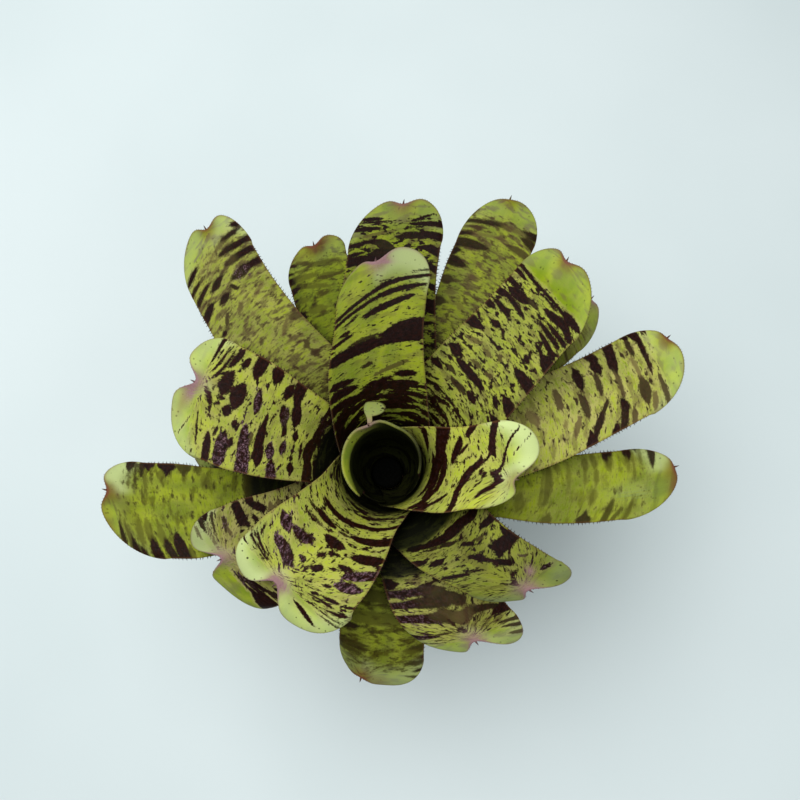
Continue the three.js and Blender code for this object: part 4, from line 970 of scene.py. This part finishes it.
def ear_outline():
    """The folded lobe's outline, x along the rim and y away from the tube's axis. It is the solid's outline
    with slightly rounder corners."""
    neck, neck_end, reach = EAR["neck"], EAR["neck_end"], EAR["reach"]
    left, right = EAR["left"], EAR["right"]
    widest = (neck_end + reach) / 2
    t = np.linspace(0, 1, EAR["curve_steps"] + 1)[1:]
    handle = EAR["handle"]
    high, low = lerp(widest, reach, handle), lerp(widest, neck_end, handle)
    corners = [
        ((neck, neck_end), (right * handle, neck_end), (right, low), (right, widest)),
        ((right, widest), (right, high), (right * handle, reach), (0, reach)),
        ((0, reach), (left * handle, reach), (left, high), (left, widest)),
        ((left, widest), (left, low), (-neck, neck_end), (-neck, neck_end - neck)),
    ]
    points = [np.array([[-neck, 0], [0, 0], [neck, 0], [neck, neck_end / 2], [neck, neck_end]])]
    for curve in corners:
        points.append(bezier(*[np.array(point, float) for point in curve], t))
    points.append(np.array([[-neck, (neck_end - neck) / 2]]))
    return np.vstack(points)


def add_ear(builder):
    """The small folded lobe on the tube's rim: two bulged faces that meet at its outline."""
    outline = ear_outline()
    centre = np.array(EAR["centre"])
    count = len(outline)
    rings = EAR["rings"]
    points = []
    closeness = []
    for side in (1, -1):
        for k in range(rings):
            t = k / rings
            bulge = 0.5 * EAR["thickness"] * math.sqrt(1 - (1 - t) ** 4) if k else 0.0
            points.append(np.column_stack([lerp(outline, centre, t), np.full(count, side * bulge)]))
            closeness.append(np.full(count, t))
        points.append(np.array([[*centre, side * 0.5 * EAR["thickness"]]]))
        closeness.append(np.ones(1))
    flat = np.vstack(points)
    past = np.maximum(flat[:, 1] - EAR["neck_end"], 0)
    dish = EAR["dish"] * (flat[:, 0] - EAR["dish_at"]) ** 2 * (past > 0)
    height = flat[:, 2] + EAR["thickness"] / 2 - EAR["bend"] * past ** 2 - dish
    c, s = heading(EAR["heading"] - 90)
    root = EAR["radius"] * heading(EAR["az"])
    placed = np.column_stack([
        root[0] + flat[:, 0] * c - flat[:, 1] * s,
        root[1] + flat[:, 0] * s + flat[:, 1] * c,
        EAR["z"] + height,
    ])
    per_side = rings * count + 1
    faces = []
    for side in range(2):
        start = side * per_side
        for k in range(rings):
            for m in range(count):
                n = (m + 1) % count
                a, b = start + k * count + m, start + k * count + n
                if k < rings - 1:
                    face = (a, b, b + count, a + count)
                else:
                    face = (a, b, start + rings * count)
                faces.append(face if side == 0 else tuple(reversed(face)))
    # The two sides meet at the outline, whose points are the same.
    lower_outline = set(range(per_side, per_side + count))
    faces = [tuple(k - per_side if k in lower_outline else k for k in face) for face in faces]
    up_neck = smooth((flat[:, 1] - EAR["blade_from"]) / EAR["blade_run"])
    closeness = np.concatenate(closeness)
    rim = 1 - smooth(closeness * EAR["rim_narrow"])
    unmarked = ("wild", "bare", "brown", "olive_shade", "strength", "violet_scurf_and_sheen", "loose", "under", "spine")
    builder.add(placed, faces, {
        "grain": np.column_stack([flat[:, 0], -flat[:, 1], np.full(len(flat), EAR["grain_seed"])]),
        "blush": EAR["neck_blush"] * (1 - up_neck) + EAR["rim_blush"] * rim,
        "edge": closeness * EAR["edge_scale"],
        "depth": float(-BAND["reach"]),
        **{key: share * up_neck for key, share in EAR["shares"].items()},
        **{key: 0.0 for key in unmarked},
    })


# Patterns of noise: how often they repeat, per mm across and along a leaf and per metre elsewhere, then
# their detail and roughness
NOISES = {
    "wander": ((0.05, 0.09, 1), 2, 0.5),
    "broad": ((0.075, 0.32, 1), 2, 0.5),
    "ragged": ((0.45, 0.95, 1), 4, 0.6),
    "fine": ((1.6, 2.4, 1), 3, 0.6),
    "blotch": ((0.22, 0.42, 1), 4, 0.62),
    "fleck": ((0.3, 1.15, 1), 3, 0.65),
    "dot_size": (0.12, 2, 0.5),
    "mottle": ((0.10, 0.05, 1), 3, 0.5),
    "cloud": ((0.12, 0.16, 1), 3, 0.5),
    "ghost": ((0.12, 0.28, 1), 3, 0.5),
    "veins": ((1.9, 0.03, 1), 2, 0.5),
    "sheen": ((0.5, 0.5, 1), 4, 0.65),
    "grains": (1.5, 3, 0.75),
    "dust": ((60, 60, 25), 5, 0.6),
    "peel": (1400, 2, 0.5),
    "scuff": ((90, 90, 400), 4, 0.7),
    "bark_fibre": ((900, 300, 900), 5, 0.65),
    "crumb": (700, 5, 0.7),
    "stem_fibre": ((1200, 1200, 90), 4, 0.6),
    "scars": ((60, 60, 420), 3, 0.5),
    "floor_cloud": (3, 3, 0.5),
    "floor_grit": (500, 3, 0.5),
}
# Soft steps: the two values that they run between, then what they give there where it isn't 0 and 1
STEPS = {
    "loose": (0.3, 2.8, 1.0, 4.2),
    "small_wins": (-0.3, 0.3),
    "strength": (0.0, 1.0, 0.35, 1.0),
    "dot": (0.02, -0.08),
    "dot_picked": (0.6, 0.65),
    "mottle": (0.35, 0.65),
    "near_mark": (-1.8, -0.1, 0.0, 0.9),
    "cloud": (0.45, 0.68, 0.0, 0.4),
    "veins": (0.45, 0.75, 0.0, 0.18),
    "bloom": (0.3, 0.7, 0.5, 1.0),
    "maroon": (0.35, 0.7),
    "sheen": (0.42, 0.6),
    "grains": (0.45, 0.62, 0.0, 1.3),
    "stain": (0.4, 0.9),
    "edge": (0.8, 0.1, 0.0, 0.3),
    "under": (0.35, 0.7, 0.15, 0.6),
    "flush": (0.35, 0.65, 0.0, 0.5),
    "leaf_gloss": (0.3, 0.7, 0.42, 0.62),
    "dust": (0.4, 0.75, 0.0, 0.5),
    "scuff": (0.62, 0.72, 0.0, 0.25),
    "pot_gloss": (0.3, 0.7, 0.42, 0.68),
    "bark_fibre": (0.35, 0.7, 0.0, 0.6),
    "pumice": (0.93, 0.97),
    "bark_gloss": (0.3, 0.7, 0.75, 0.98),
    "stem_fibre": (0.3, 0.7),
    "scars": (0.5, 0.65, 0.0, 0.7),
    "stem_gloss": (0.3, 0.7, 0.65, 0.9),
    "stem_top_shade": (108 * MM, 114 * MM),
    "floor": (0.3, 0.7),
}
# Depth of the fine relief in mm and its strength
BUMPS = {
    "leaf": (0.25, 0.6), "pot": (0.12, 0.5), "bark": (0.6, 0.9), "stem": (0.5, 0.8), "floor": (0.1, 0.2),
}
# How the marks are drawn. Where there are two values, the first is for none of what a look asks for and the
# second for all of it. A gain turns what rises above a threshold into a depth in mm.
DRAWN = {
    "wander": 5, "chance_middle": 0.5, "chance_range": 0.28, "chance_gain": 9, "tame": 12, "fine_gain": 1.5,
    "blotch": (0.66, 0.5), "blotch_gain": 9, "fleck": (0.7, 0.54), "fleck_gain": 6, "bare": 6,
    "soft": (0.15, 1.3), "small_strength": (1.0, 0.4), "dot_stretch": (1.0, 0.8, 1), "dot_scale": 0.5,
    "dot_size": 0.42, "ghost_from": 0.48, "ghost_to": 0.64, "green_from": 0.35, "green_run": 0.25,
    # olive and cup: how strong the olive spots, mostly painted shade, and the painted shade of the cup are.
    "olive_shade": 0.8, "brown": 0.9, "cup_shade": 0.96,
    "fine_height": 0.5, "vein_height": 0.9, "specular": 0.05,
}


class Graph:
    """Makes and joins shader nodes. An input given as a socket is linked, any other is set."""

    def __init__(self, name):
        self.material = bpy.data.materials.new(name)
        self.material.use_nodes = True
        self.nodes = self.material.node_tree.nodes
        self.links = self.material.node_tree.links
        self.shader = self.nodes["Principled BSDF"]

    def feed(self, node, key, value):
        target = node.inputs[key]
        if isinstance(value, bpy.types.NodeSocket):
            self.links.new(value, target)
        else:
            target.default_value = value

    def add(self, kind, inputs, **settings):
        node = self.nodes.new(kind)
        for key, value in settings.items():
            setattr(node, key, value)
        for key, value in inputs.items():
            self.feed(node, key, value)
        return node

    def value(self, name):
        return self.add("ShaderNodeAttribute", {}, attribute_name=name).outputs["Fac"]

    def vector(self, name):
        return self.add("ShaderNodeAttribute", {}, attribute_name=name).outputs["Vector"]

    def place(self):
        return self.add("ShaderNodeTexCoord", {}).outputs["Object"]

    def math(self, operation, a, b, clamp=False):
        node = self.add("ShaderNodeMath", {0: a, 1: b}, operation=operation, use_clamp=clamp)
        return node.outputs[0]

    def plus(self, a, b):
        return self.math("ADD", a, b)

    def minus(self, a, b):
        return self.math("SUBTRACT", a, b)

    def times(self, a, b):
        return self.math("MULTIPLY", a, b)

    def larger(self, a, b):
        return self.math("MAXIMUM", a, b)

    def scaled(self, vector, factors):
        return self.add("ShaderNodeVectorMath", {0: vector, 1: factors}, operation="MULTIPLY").outputs[0]

    def shifted(self, vector, step):
        return self.add("ShaderNodeVectorMath", {0: vector, 1: step}, operation="ADD").outputs[0]

    def noise(self, vector, name):
        size, detail, rough = NOISES[name]
        stretched = isinstance(size, tuple)
        inputs = {
            "Vector": self.scaled(vector, size) if stretched else vector, "Scale": 1 if stretched else size,
            "Detail": detail, "Roughness": rough,
        }
        return self.add("ShaderNodeTexNoise", inputs).outputs["Fac"]

    def ramp(self, value, low, high, start=0.0, end=1.0):
        inputs = {"Value": value, "From Min": low, "From Max": high, "To Min": start, "To Max": end}
        return self.add("ShaderNodeMapRange", inputs, interpolation_type="SMOOTHSTEP").outputs["Result"]

    def step(self, value, name):
        return self.ramp(value, *STEPS[name])

    def mix(self, share, a, b):
        node = self.add("ShaderNodeMix", {}, data_type="RGBA")
        self.feed(node, 0, share)
        self.feed(node, 6, a)
        self.feed(node, 7, b)
        return node.outputs[2]

    def mix_values(self, share, a, b):
        inputs = {0: share, 2: a, 3: b}
        return self.add("ShaderNodeMix", inputs, data_type="FLOAT").outputs[0]

    def bump(self, height, name):
        depth, strength = BUMPS[name]
        inputs = {"Height": height, "Distance": depth * MM, "Strength": strength}
        return self.add("ShaderNodeBump", inputs).outputs["Normal"]

    def finish(self, colour, roughness, normal, **others):
        self.feed(self.shader, "Base Color", colour)
        self.feed(self.shader, "Roughness", roughness)
        self.feed(self.shader, "Normal", normal)
        for key, value in others.items():
            self.feed(self.shader, key, value)
        return self.material


# Colours of the leaves
LIME = (157, 172, 22)
LIME_DEEP = (118, 140, 18)
OLIVE = (122, 135, 18)
OLIVE_DEEP = (94, 104, 20)
LIME_PALE = (162, 156, 90)
# Partly painted highlight on the lobes beside the notch.
PALE_LOBE_AND_HIGHLIGHT = (180, 194, 132)
GREY = (134, 150, 112)
# The olive of weak bands and dull clouds, also used for patches of painted shade.
OLIVE_STAIN_AND_SHADE = (70, 66, 14)
BROWN_STAIN = (82, 58, 42)
SOFT_STAIN = (98, 88, 50)
MAROON = (17, 6, 2)
MAROON_LIGHT = (38, 13, 6)
# Partly grey scurf and partly painted sheen on the bands.
VIOLET_SCURF_AND_SHEEN = (120, 92, 102)
BLUSH = (146, 116, 122)
RUST = (104, 62, 46)
BROWN = (112, 74, 40)
# Painted shade: the near-black of the tank's inside and of leaves deep in its shadow.
CUP_SHADE_COLOUR = (12, 14, 7)
SCURF = (150, 156, 128)
SPINE_DARK = (40, 20, 18)
# Colours of the pot, the potting mix, the stem and the floor
POT_DARK = (44, 45, 44)
POT_DUST = (92, 90, 84)
POT_SCUFF = (120, 118, 112)
BARK_DARK = (44, 30, 20)
BARK_LIGHT = (118, 84, 52)
BARK_FIBRE = (60, 42, 28)
PUMICE = (196, 192, 180)
STEM_DARK = (70, 60, 34)
STEM_LIGHT = (128, 118, 66)
STEM_SCAR = (52, 36, 22)
# Painted shade: the near-black of the stem's top, deep down the tube.
STEM_TOP_SHADE = (5, 6, 3)
FLOOR_DARK = (203, 215, 215)
FLOOR_LIGHT = (210, 221, 221)


def blend(a, b, share):
    return tuple(lerp(np.array(a), np.array(b), share))


def leaf_material(name, look):
    graph = Graph(name)
    value, times, plus, minus, larger = graph.value, graph.times, graph.plus, graph.minus, graph.larger
    mix, step = graph.mix, graph.step
    grain = graph.vector("grain")
    haze = look["haze"]

    def lit(colour):
        """A colour as bright as this leaf is made: painted light and shade, brighter or darker for how lit
        the leaf is.
        """
        return (*[part * look["light"] for part in srgb(*colour)[:3]], 1.0)

    def noise(pattern):
        return graph.noise(grain, pattern)

    def excess(pattern, threshold, gain):
        """How far a pattern rises above a threshold, as a depth in mm."""
        return times(minus(pattern, threshold), gain)

    # Bands: listed ones, chance ones further back, and blotches and flecks between them, as depth in mm
    aside = graph.add("ShaderNodeCombineXYZ", {"Y": times(noise("wander"), DRAWN["wander"])}).outputs[0]
    broad = graph.noise(graph.shifted(grain, aside), "broad")
    threshold = DRAWN["chance_middle"] + (0.5 - look["cover"]) * DRAWN["chance_range"]
    tame = times(minus(1.0, value("wild")), DRAWN["tame"])
    chance = minus(excess(broad, threshold, DRAWN["chance_gain"]), tame)
    ragged = noise("ragged")
    fine = noise("fine")
    ragged_edge = excess(ragged, 0.5, step(value("loose"), "loose"))
    fine_edge = excess(fine, 0.5, DRAWN["fine_gain"])
    bands = plus(larger(value("depth"), chance), plus(ragged_edge, fine_edge))
    blotch = excess(noise("blotch"), lerp(*DRAWN["blotch"], look["blotch"]), DRAWN["blotch_gain"])
    fleck = excess(noise("fleck"), lerp(*DRAWN["fleck"], look["fleck"]), DRAWN["fleck_gain"])
    small = minus(larger(blotch, fleck), times(value("bare"), DRAWN["bare"]))
    field = larger(bands, small)
    soft = lerp(*DRAWN["soft"], haze)
    band = graph.ramp(field, -soft, soft)

    # The small marks are paler than the bands where the leaf is blurred
    is_small = larger(step(minus(small, bands), "small_wins"), value("wild"))
    strength = graph.mix_values(is_small, value("strength"), lerp(*DRAWN["small_strength"], haze))
    band = times(band, step(strength, "strength"))

    # Round dots
    stretched = graph.scaled(grain, DRAWN["dot_stretch"])
    cells = graph.add("ShaderNodeTexVoronoi", {"Vector": stretched, "Scale": DRAWN["dot_scale"]})
    dot = step(minus(cells.outputs["Distance"], times(noise("dot_size"), DRAWN["dot_size"])), "dot")
    chosen = step(graph.add("ShaderNodeSeparateColor", {0: cells.outputs["Color"]}).outputs[0], "dot_picked")
    band = larger(band, times(times(dot, chosen), look["dots"]))

    # The green between them, paler close to a mark
    mottle = step(noise("mottle"), "mottle")
    young = mix(mottle, lit(LIME), lit(LIME_DEEP))
    aged = mix(mottle, lit(OLIVE), lit(OLIVE_DEEP))
    ground = mix(look["tone"], young, aged)
    near = plus(step(field, "near_mark"), step(noise("cloud"), "cloud"))
    ground = mix(graph.math("MULTIPLY", near, look["milk"], clamp=True), ground, lit(LIME_PALE))
    brownish = 1 - float(smooth((look["tone"] - DRAWN["green_from"]) / DRAWN["green_run"]))
    stain = blend(OLIVE_STAIN_AND_SHADE, BROWN_STAIN, brownish)
    soft_stain = blend(OLIVE_STAIN_AND_SHADE, SOFT_STAIN, brownish)
    ghost = graph.ramp(noise("ghost"), DRAWN["ghost_from"], DRAWN["ghost_to"], 0.0, look["ghost"])
    ground = mix(ghost, ground, lit(soft_stain))
    veins = noise("veins")
    ground = mix(step(veins, "veins"), ground, lit(LIME_DEEP))
    # Olive spots: mostly painted shade, where a leaf lies in shadow.
    ground = mix(times(value("olive_shade"), DRAWN["olive_shade"]), ground, lit(OLIVE_STAIN_AND_SHADE))
    ground = mix(times(value("grey"), step(veins, "bloom")), ground, lit(GREY))
    # The lobes' whitish green, partly painted highlight.
    ground = mix(value("pale_and_lit_lobe"), ground, lit(PALE_LOBE_AND_HIGHLIGHT))

    # The dark of the marks, with a violet, grainy scurf on some, which is partly painted sheen, a reflection
    # of the light on the bands
    dark = mix(step(ragged, "maroon"), lit(MAROON), lit(MAROON_LIGHT))
    scurf_and_sheen_grains = times(step(noise("sheen"), "sheen"), step(noise("grains"), "grains"))
    dark = mix(times(scurf_and_sheen_grains, value("violet_scurf_and_sheen")), dark, lit(VIOLET_SCURF_AND_SHEEN))
    dark = mix(step(strength, "stain"), lit(stain), dark)
    colour = mix(band, ground, dark)

    # The edge, the underside, the notch, the painted shade of the cup and the spines
    colour = mix(times(value("brown"), DRAWN["brown"]), colour, lit(BROWN))
    colour = mix(step(value("edge"), "edge"), colour, lit(BROWN))
    colour = mix(times(value("under"), step(fine, "under")), colour, srgb(*SCURF))
    pink = mix(step(fine, "flush"), srgb(*blend(BLUSH, RUST, look["rust"])), srgb(*BROWN))
    colour = mix(value("blush"), colour, pink)
    # Painted shade: near-black in the cup and where a leaf lies in the tank's shadow.
    colour = mix(times(value("cup_shade"), DRAWN["cup_shade"]), colour, srgb(*CUP_SHADE_COLOUR))
    colour = mix(value("spine"), colour, srgb(*SPINE_DARK))

    height = plus(times(fine, DRAWN["fine_height"]), times(veins, DRAWN["vein_height"]))
    specular = {"Specular IOR Level": DRAWN["specular"]}
    return graph.finish(colour, step(fine, "leaf_gloss"), graph.bump(height, "leaf"), **specular)


def pot_material():
    graph = Graph("pot_plastic")
    place = graph.place()
    dust = graph.noise(place, "dust")
    scuff = graph.noise(place, "scuff")
    colour = graph.mix(graph.step(dust, "dust"), srgb(*POT_DARK), srgb(*POT_DUST))
    colour = graph.mix(graph.step(scuff, "scuff"), colour, srgb(*POT_SCUFF))
    height = graph.plus(graph.noise(place, "peel"), graph.times(scuff, 0.6))
    normal = graph.bump(height, "pot")
    return graph.finish(colour, graph.step(dust, "pot_gloss"), normal, **{"Specular IOR Level": 0.4})


def mix_material():
    graph = Graph("bark_mix")
    place = graph.place()
    shade = graph.value("shade")
    crumb = graph.noise(place, "crumb")
    colour = graph.mix(shade, srgb(*BARK_DARK), srgb(*BARK_LIGHT))
    colour = graph.mix(graph.step(graph.noise(place, "bark_fibre"), "bark_fibre"), colour, srgb(*BARK_FIBRE))
    colour = graph.mix(graph.step(shade, "pumice"), colour, srgb(*PUMICE))
    return graph.finish(colour, graph.step(crumb, "bark_gloss"), graph.bump(crumb, "bark"))


def stem_material():
    graph = Graph("stem_bark")
    place = graph.place()
    fibre = graph.noise(place, "stem_fibre")
    scars = graph.noise(place, "scars")
    colour = graph.mix(graph.step(fibre, "stem_fibre"), srgb(*STEM_DARK), srgb(*STEM_LIGHT))
    colour = graph.mix(graph.step(scars, "scars"), colour, srgb(*STEM_SCAR))
    # The stem's top, deep down the tube, is painted near-black: painted shade.
    height_up = graph.add("ShaderNodeSeparateXYZ", {0: place}).outputs["Z"]
    colour = graph.mix(graph.step(height_up, "stem_top_shade"), colour, srgb(*STEM_TOP_SHADE))
    normal = graph.bump(graph.plus(fibre, graph.times(scars, 2.0)), "stem")
    return graph.finish(colour, graph.step(fibre, "stem_gloss"), normal, **{"Specular IOR Level": 0.05})


def floor_material():
    graph = Graph("pale_floor")
    place = graph.place()
    cloud = graph.step(graph.noise(place, "floor_cloud"), "floor")
    colour = graph.mix(cloud, srgb(*FLOOR_DARK), srgb(*FLOOR_LIGHT))
    return graph.finish(colour, 0.85, graph.bump(graph.noise(place, "floor_grit"), "floor"))


# Pot, potting mix and stem
def circle(radius, z, sides):
    angles = np.linspace(0, 2 * math.pi, sides, endpoint=False)
    return np.column_stack([radius * np.cos(angles), radius * np.sin(angles), np.full(sides, z)])


def ring_faces(rings, sides):
    """Faces of a closed body made of rings of points, with one point before the first and one after the
    last."""
    faces = []
    for m in range(sides):
        n = (m + 1) % sides
        faces.append((0, 1 + n, 1 + m))
        for k in range(rings - 1):
            low, high = 1 + k * sides, 1 + (k + 1) * sides
            faces.append((low + m, low + n, high + n, high + m))
        top = 1 + (rings - 1) * sides
        faces.append((top + m, top + n, 1 + rings * sides))
    return faces


def turned(builder, profile, sides, centre=(0, 0, 0)):
    """A closed body of revolution. profile is a list of (radius, z), from the axis round to the axis."""
    points = [np.array([[0, 0, profile[0][1]]])]
    points += [circle(radius, z, sides) for radius, z in profile[1:-1]]
    points.append(np.array([[0, 0, profile[-1][1]]]))
    builder.add(np.vstack(points) + centre, ring_faces(len(profile) - 2, sides), {})


def pot_radius(z):
    return lerp(POT["base_radius"], POT["top_radius"], z / POT["height"])


def arc(centre, radius, start, end, steps):
    """Points of an arc in the profile's plane, from one angle in degrees to another."""
    return [
        (centre[0] + radius * math.cos(math.radians(a)), centre[1] + radius * math.sin(math.radians(a)))
        for a in np.linspace(start, end, steps)
    ]


def pot_profile():
    """The pot's section: its underside and wall, the stepped band, the rolled lip and the inside."""
    height, wall, edge, floor = POT["height"], POT["wall"], POT["edge"], POT["floor"]
    band_z = height - POT["band_height"]
    step, lip = POT["band_step"], POT["lip"]
    inner_lip = lip * POT_FORM["inner_lip"]
    band_round = POT_FORM["band_round"]
    outer = POT["top_radius"] + step
    inner_top = pot_radius(height) - wall
    rows = POT_FORM["wall_rows"]
    outer_rows = np.linspace(POT_FORM["wall_from"], band_z - POT_FORM["under_band"], rows)
    inner_rows = np.linspace(height - POT_FORM["inner_from"], floor + 1, rows)
    profile = [(0, 0)]
    profile += arc((POT["base_radius"] - edge, edge), edge, -90, 0, 5)
    profile += [(pot_radius(z), z) for z in outer_rows]
    profile += [(pot_radius(band_z) + POT_FORM["band_inset"], band_z)]
    profile += arc((pot_radius(band_z) + step - band_round, band_z + step), band_round, -60, 0, 4)
    profile += [(outer, height - 2 * lip - POT_FORM["under_lip"])]
    profile += arc((outer + POT["lip_out"] - lip, height - lip), lip, 0, 90, 7)
    profile += arc((inner_top + inner_lip, height - inner_lip), inner_lip, 90, 180, 5)
    profile += [(pot_radius(z) - wall, z) for z in inner_rows]
    profile += [(pot_radius(0) - wall - POT_FORM["floor_corner"], floor), (0, floor)]
    return profile


def make_pot(material):
    builder = Builder()
    turned(builder, pot_profile(), POT_FORM["sides"])
    pot = builder.object("pot_shell", material)
    drills = Builder()
    radius, bottom, top = POT["hole_radius"], DRILL["bottom"], DRILL["top"]
    for k in range(POT["hole_count"]):
        centre = np.array([*(POT["hole_circle"] * heading(360 * (k + 0.5) / POT["hole_count"])), 0])
        turned(drills, [(0, bottom), (radius, bottom), (radius, top), (0, top)], DRILL["sides"], centre)
    cutter = drills.object("pot_drills", material)
    cut = pot.modifiers.new("holes", "BOOLEAN")
    cut.operation = "DIFFERENCE"
    cut.solver = "EXACT"
    cut.object = cutter
    settle(pot)
    bpy.data.objects.remove(cutter)
    pot.data.set_sharp_from_angle(angle=math.radians(POT_FORM["sharp"]))
    return pot


def settle(target):
    """Applies the modifiers of an object."""
    graph = bpy.context.evaluated_depsgraph_get()
    mesh = bpy.data.meshes.new_from_object(target.evaluated_get(graph))
    target.modifiers.clear()
    target.data = mesh


def mix_relief(x, y):
    along_x, slant, along_y = MIX["waves"]
    return MIX["relief"] * np.sin(x * along_x + 1) * np.cos(y * along_y - x * slant)


def chip(rng, size):
    """One bark chip: an eight-sided block with uneven corners and a smaller top."""
    outline = ((-1, -0.5), (-0.5, -1), (0.5, -1), (1, -0.5), (1, 0.5), (0.5, 1), (-0.5, 1), (-1, 0.5))
    corners = np.array([[x, y, z] for z in (-1, 1) for x, y in outline], float)
    corners[:, :2] *= np.where(corners[:, 2:] > 0, CHIP["top"], 1.0)
    corners += rng.uniform(-CHIP["uneven"], CHIP["uneven"], corners.shape)
    corners *= size
    sides = len(outline)
    faces = [tuple(range(sides - 1, -1, -1)), tuple(range(sides, 2 * sides))]
    faces += [(k, (k + 1) % sides, sides + (k + 1) % sides, sides + k) for k in range(sides)]
    return corners, faces


def turn_matrix(rng, tilt):
    """A turn about the vertical by any angle after a small random tilt."""
    a, b, c = rng.uniform(0, 2 * math.pi), *rng.uniform(-tilt, tilt, 2)
    about_z = np.array([[math.cos(a), -math.sin(a), 0], [math.sin(a), math.cos(a), 0], [0, 0, 1]])
    about_x = np.array([[1, 0, 0], [0, math.cos(b), -math.sin(b)], [0, math.sin(b), math.cos(b)]])
    about_y = np.array([[math.cos(c), 0, math.sin(c)], [0, 1, 0], [-math.sin(c), 0, math.cos(c)]])
    return about_z @ about_x @ about_y


def make_mix(material, rng):
    """The potting mix: a filled body with an uneven top, covered in bark chips and a little pumice."""
    sides = MIX_FORM["sides"]
    bottom = POT["floor"] + GAP
    rim = pot_radius(MIX["top_z"]) - POT["wall"] - GAP - MIX["slack"]
    well_radius = STEM["radius"] + GAP
    well_z = STEM["bottom_z"] - GAP
    points = [np.array([[0, 0, bottom]]), circle(pot_radius(bottom) - POT["wall"] - GAP, bottom, sides)]
    for radius in np.linspace(rim, well_radius, MIX_FORM["rings"]):
        ring = circle(radius, MIX["top_z"], sides)
        ring[:, 2] += mix_relief(ring[:, 0], ring[:, 1])
        ring[:, 2] += rng.uniform(*MIX_FORM["ripple"], sides)
        points.append(ring)
    points += [circle(well_radius, well_z, sides), np.array([[0, 0, well_z]])]
    builder = Builder()
    builder.add(np.vstack(points), ring_faces(len(points) - 2, sides), {"shade": MIX_FORM["shade"]})
    inner, outer = STEM["radius"] + CHIP["stem_gap"], rim - CHIP["rim_gap"]
    for _ in range(CHIP["count"]):
        radius = math.sqrt(rng.uniform(inner ** 2, outer ** 2))
        x, y = radius * heading(rng.uniform(0, 360))
        is_pumice = rng.uniform() < CHIP["pumice_share"]
        size = np.array([rng.uniform(*limits) for limits in CHIP["sizes"]])
        if is_pumice:
            size = np.full(3, rng.uniform(*CHIP["pumice_size"]))
        corners, faces = chip(rng, size)
        place = np.array([x, y, MIX["top_z"] + mix_relief(x, y) + rng.uniform(*CHIP["rise"])])
        shade = CHIP["pumice_shade"] if is_pumice else rng.uniform(*CHIP["shade"])
        builder.add(corners @ turn_matrix(rng, CHIP["tilt"]).T + place, faces, {"shade": shade})
    return builder.object("potting_mix_top", material, smooth_faces=False)


def make_stem(material):
    """The short stem, ringed by the scars of old leaves."""
    edge, bottom, top, radius = STEM["edge"], STEM["bottom_z"], STEM["top_z"], STEM["radius"]
    profile = [(0, bottom)]
    profile += arc((radius - edge, bottom + edge), edge, -90, 0, 4)
    for z in np.arange(bottom + STEM_FORM["first_row"], top - STEM_FORM["last_row"], STEM_FORM["row"]):
        profile.append((radius - STEM_FORM["scar_depth"] * abs(math.sin(z * STEM_FORM["scar_waves"])), z))
    profile += arc((radius - edge, top - edge), edge, 0, 90, 4)
    profile += [(0, top)]
    builder = Builder()
    turned(builder, profile, STEM_FORM["sides"])
    return builder.object("stem_core", material)


def put(piece, node):
    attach(piece, "root")
    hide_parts(node)


put(make_pot(pot_material()), "pot")
put(make_mix(mix_material(), np.random.default_rng(SEEDS["mix"])), "potting_mix")
put(make_stem(stem_material()), "stem")
for level, (sizes, marks) in enumerate(zip(LEAVES, LOOKS)):
    node = f"leaf_{level + 1:02d}"
    leaf = {**LEAF_DEFAULTS, **sizes}
    look = {**LOOK_DEFAULTS, **marks}
    shape = leaf_mesh(leaf, look, level, np.random.default_rng(SEEDS["leaf"] + level))
    if level == 0:
        add_ear(shape)
    piece = shape.object(node + "_blade", leaf_material(node + "_skin", look))
    put(piece, node)

# Stage, light and camera, in metres except for the floor's size
FLOOR_HALF = 1500
LIGHT_TARGET = (0, 0, 0.1)
LIGHTS = {
    "overhead": {"place": (-0.3, 0.28, 1.15), "size": 1.3, "power": 16.5},
    "fill": {"place": (0.8, -0.6, 0.8), "size": 0.9, "power": 3},
}
WORLD = {"Color": (0.9, 0.95, 1.0, 1.0), "Strength": 0.3}
CAMERA = {
    "place": (0.0066176, -0.0364814, 0.4689478), "tilt": 12, "lens": 30.6, "sensor": 36, "clip": 0.01,
}


def make_floor():
    builder = Builder()
    corners = [[x * FLOOR_HALF, y * FLOOR_HALF, 0] for x, y in ((-1, -1), (1, -1), (1, 1), (-1, 1))]
    builder.add(corners, [(0, 1, 2, 3)], {})
    builder.object("floor", floor_material())


def add_light(name, place, size, power):
    data = bpy.data.lights.new(name, "AREA")
    data.shape = "DISK"
    data.size = size
    data.energy = power
    light = bpy.data.objects.new(name, data)
    light.location = place
    light.rotation_euler = (Vector(LIGHT_TARGET) - Vector(place)).to_track_quat("-Z", "Y").to_euler()
    bpy.context.scene.collection.objects.link(light)


def add_camera():
    data = bpy.data.cameras.new("camera")
    data.lens = CAMERA["lens"]
    data.sensor_width = CAMERA["sensor"]
    data.clip_start = CAMERA["clip"]
    camera = bpy.data.objects.new("camera", data)
    camera.location = CAMERA["place"]
    camera.rotation_euler = (math.radians(CAMERA["tilt"]), 0, 0)
    bpy.context.scene.collection.objects.link(camera)
    bpy.context.scene.camera = camera


make_floor()
for light_name, settings in LIGHTS.items():
    add_light(light_name, **settings)
world = bpy.data.worlds.new("studio")
bpy.context.scene.world = world
world.use_nodes = True
for key, setting in WORLD.items():
    world.node_tree.nodes["Background"].inputs[key].default_value = setting
bpy.context.scene.view_settings.view_transform = "Standard"
add_camera()
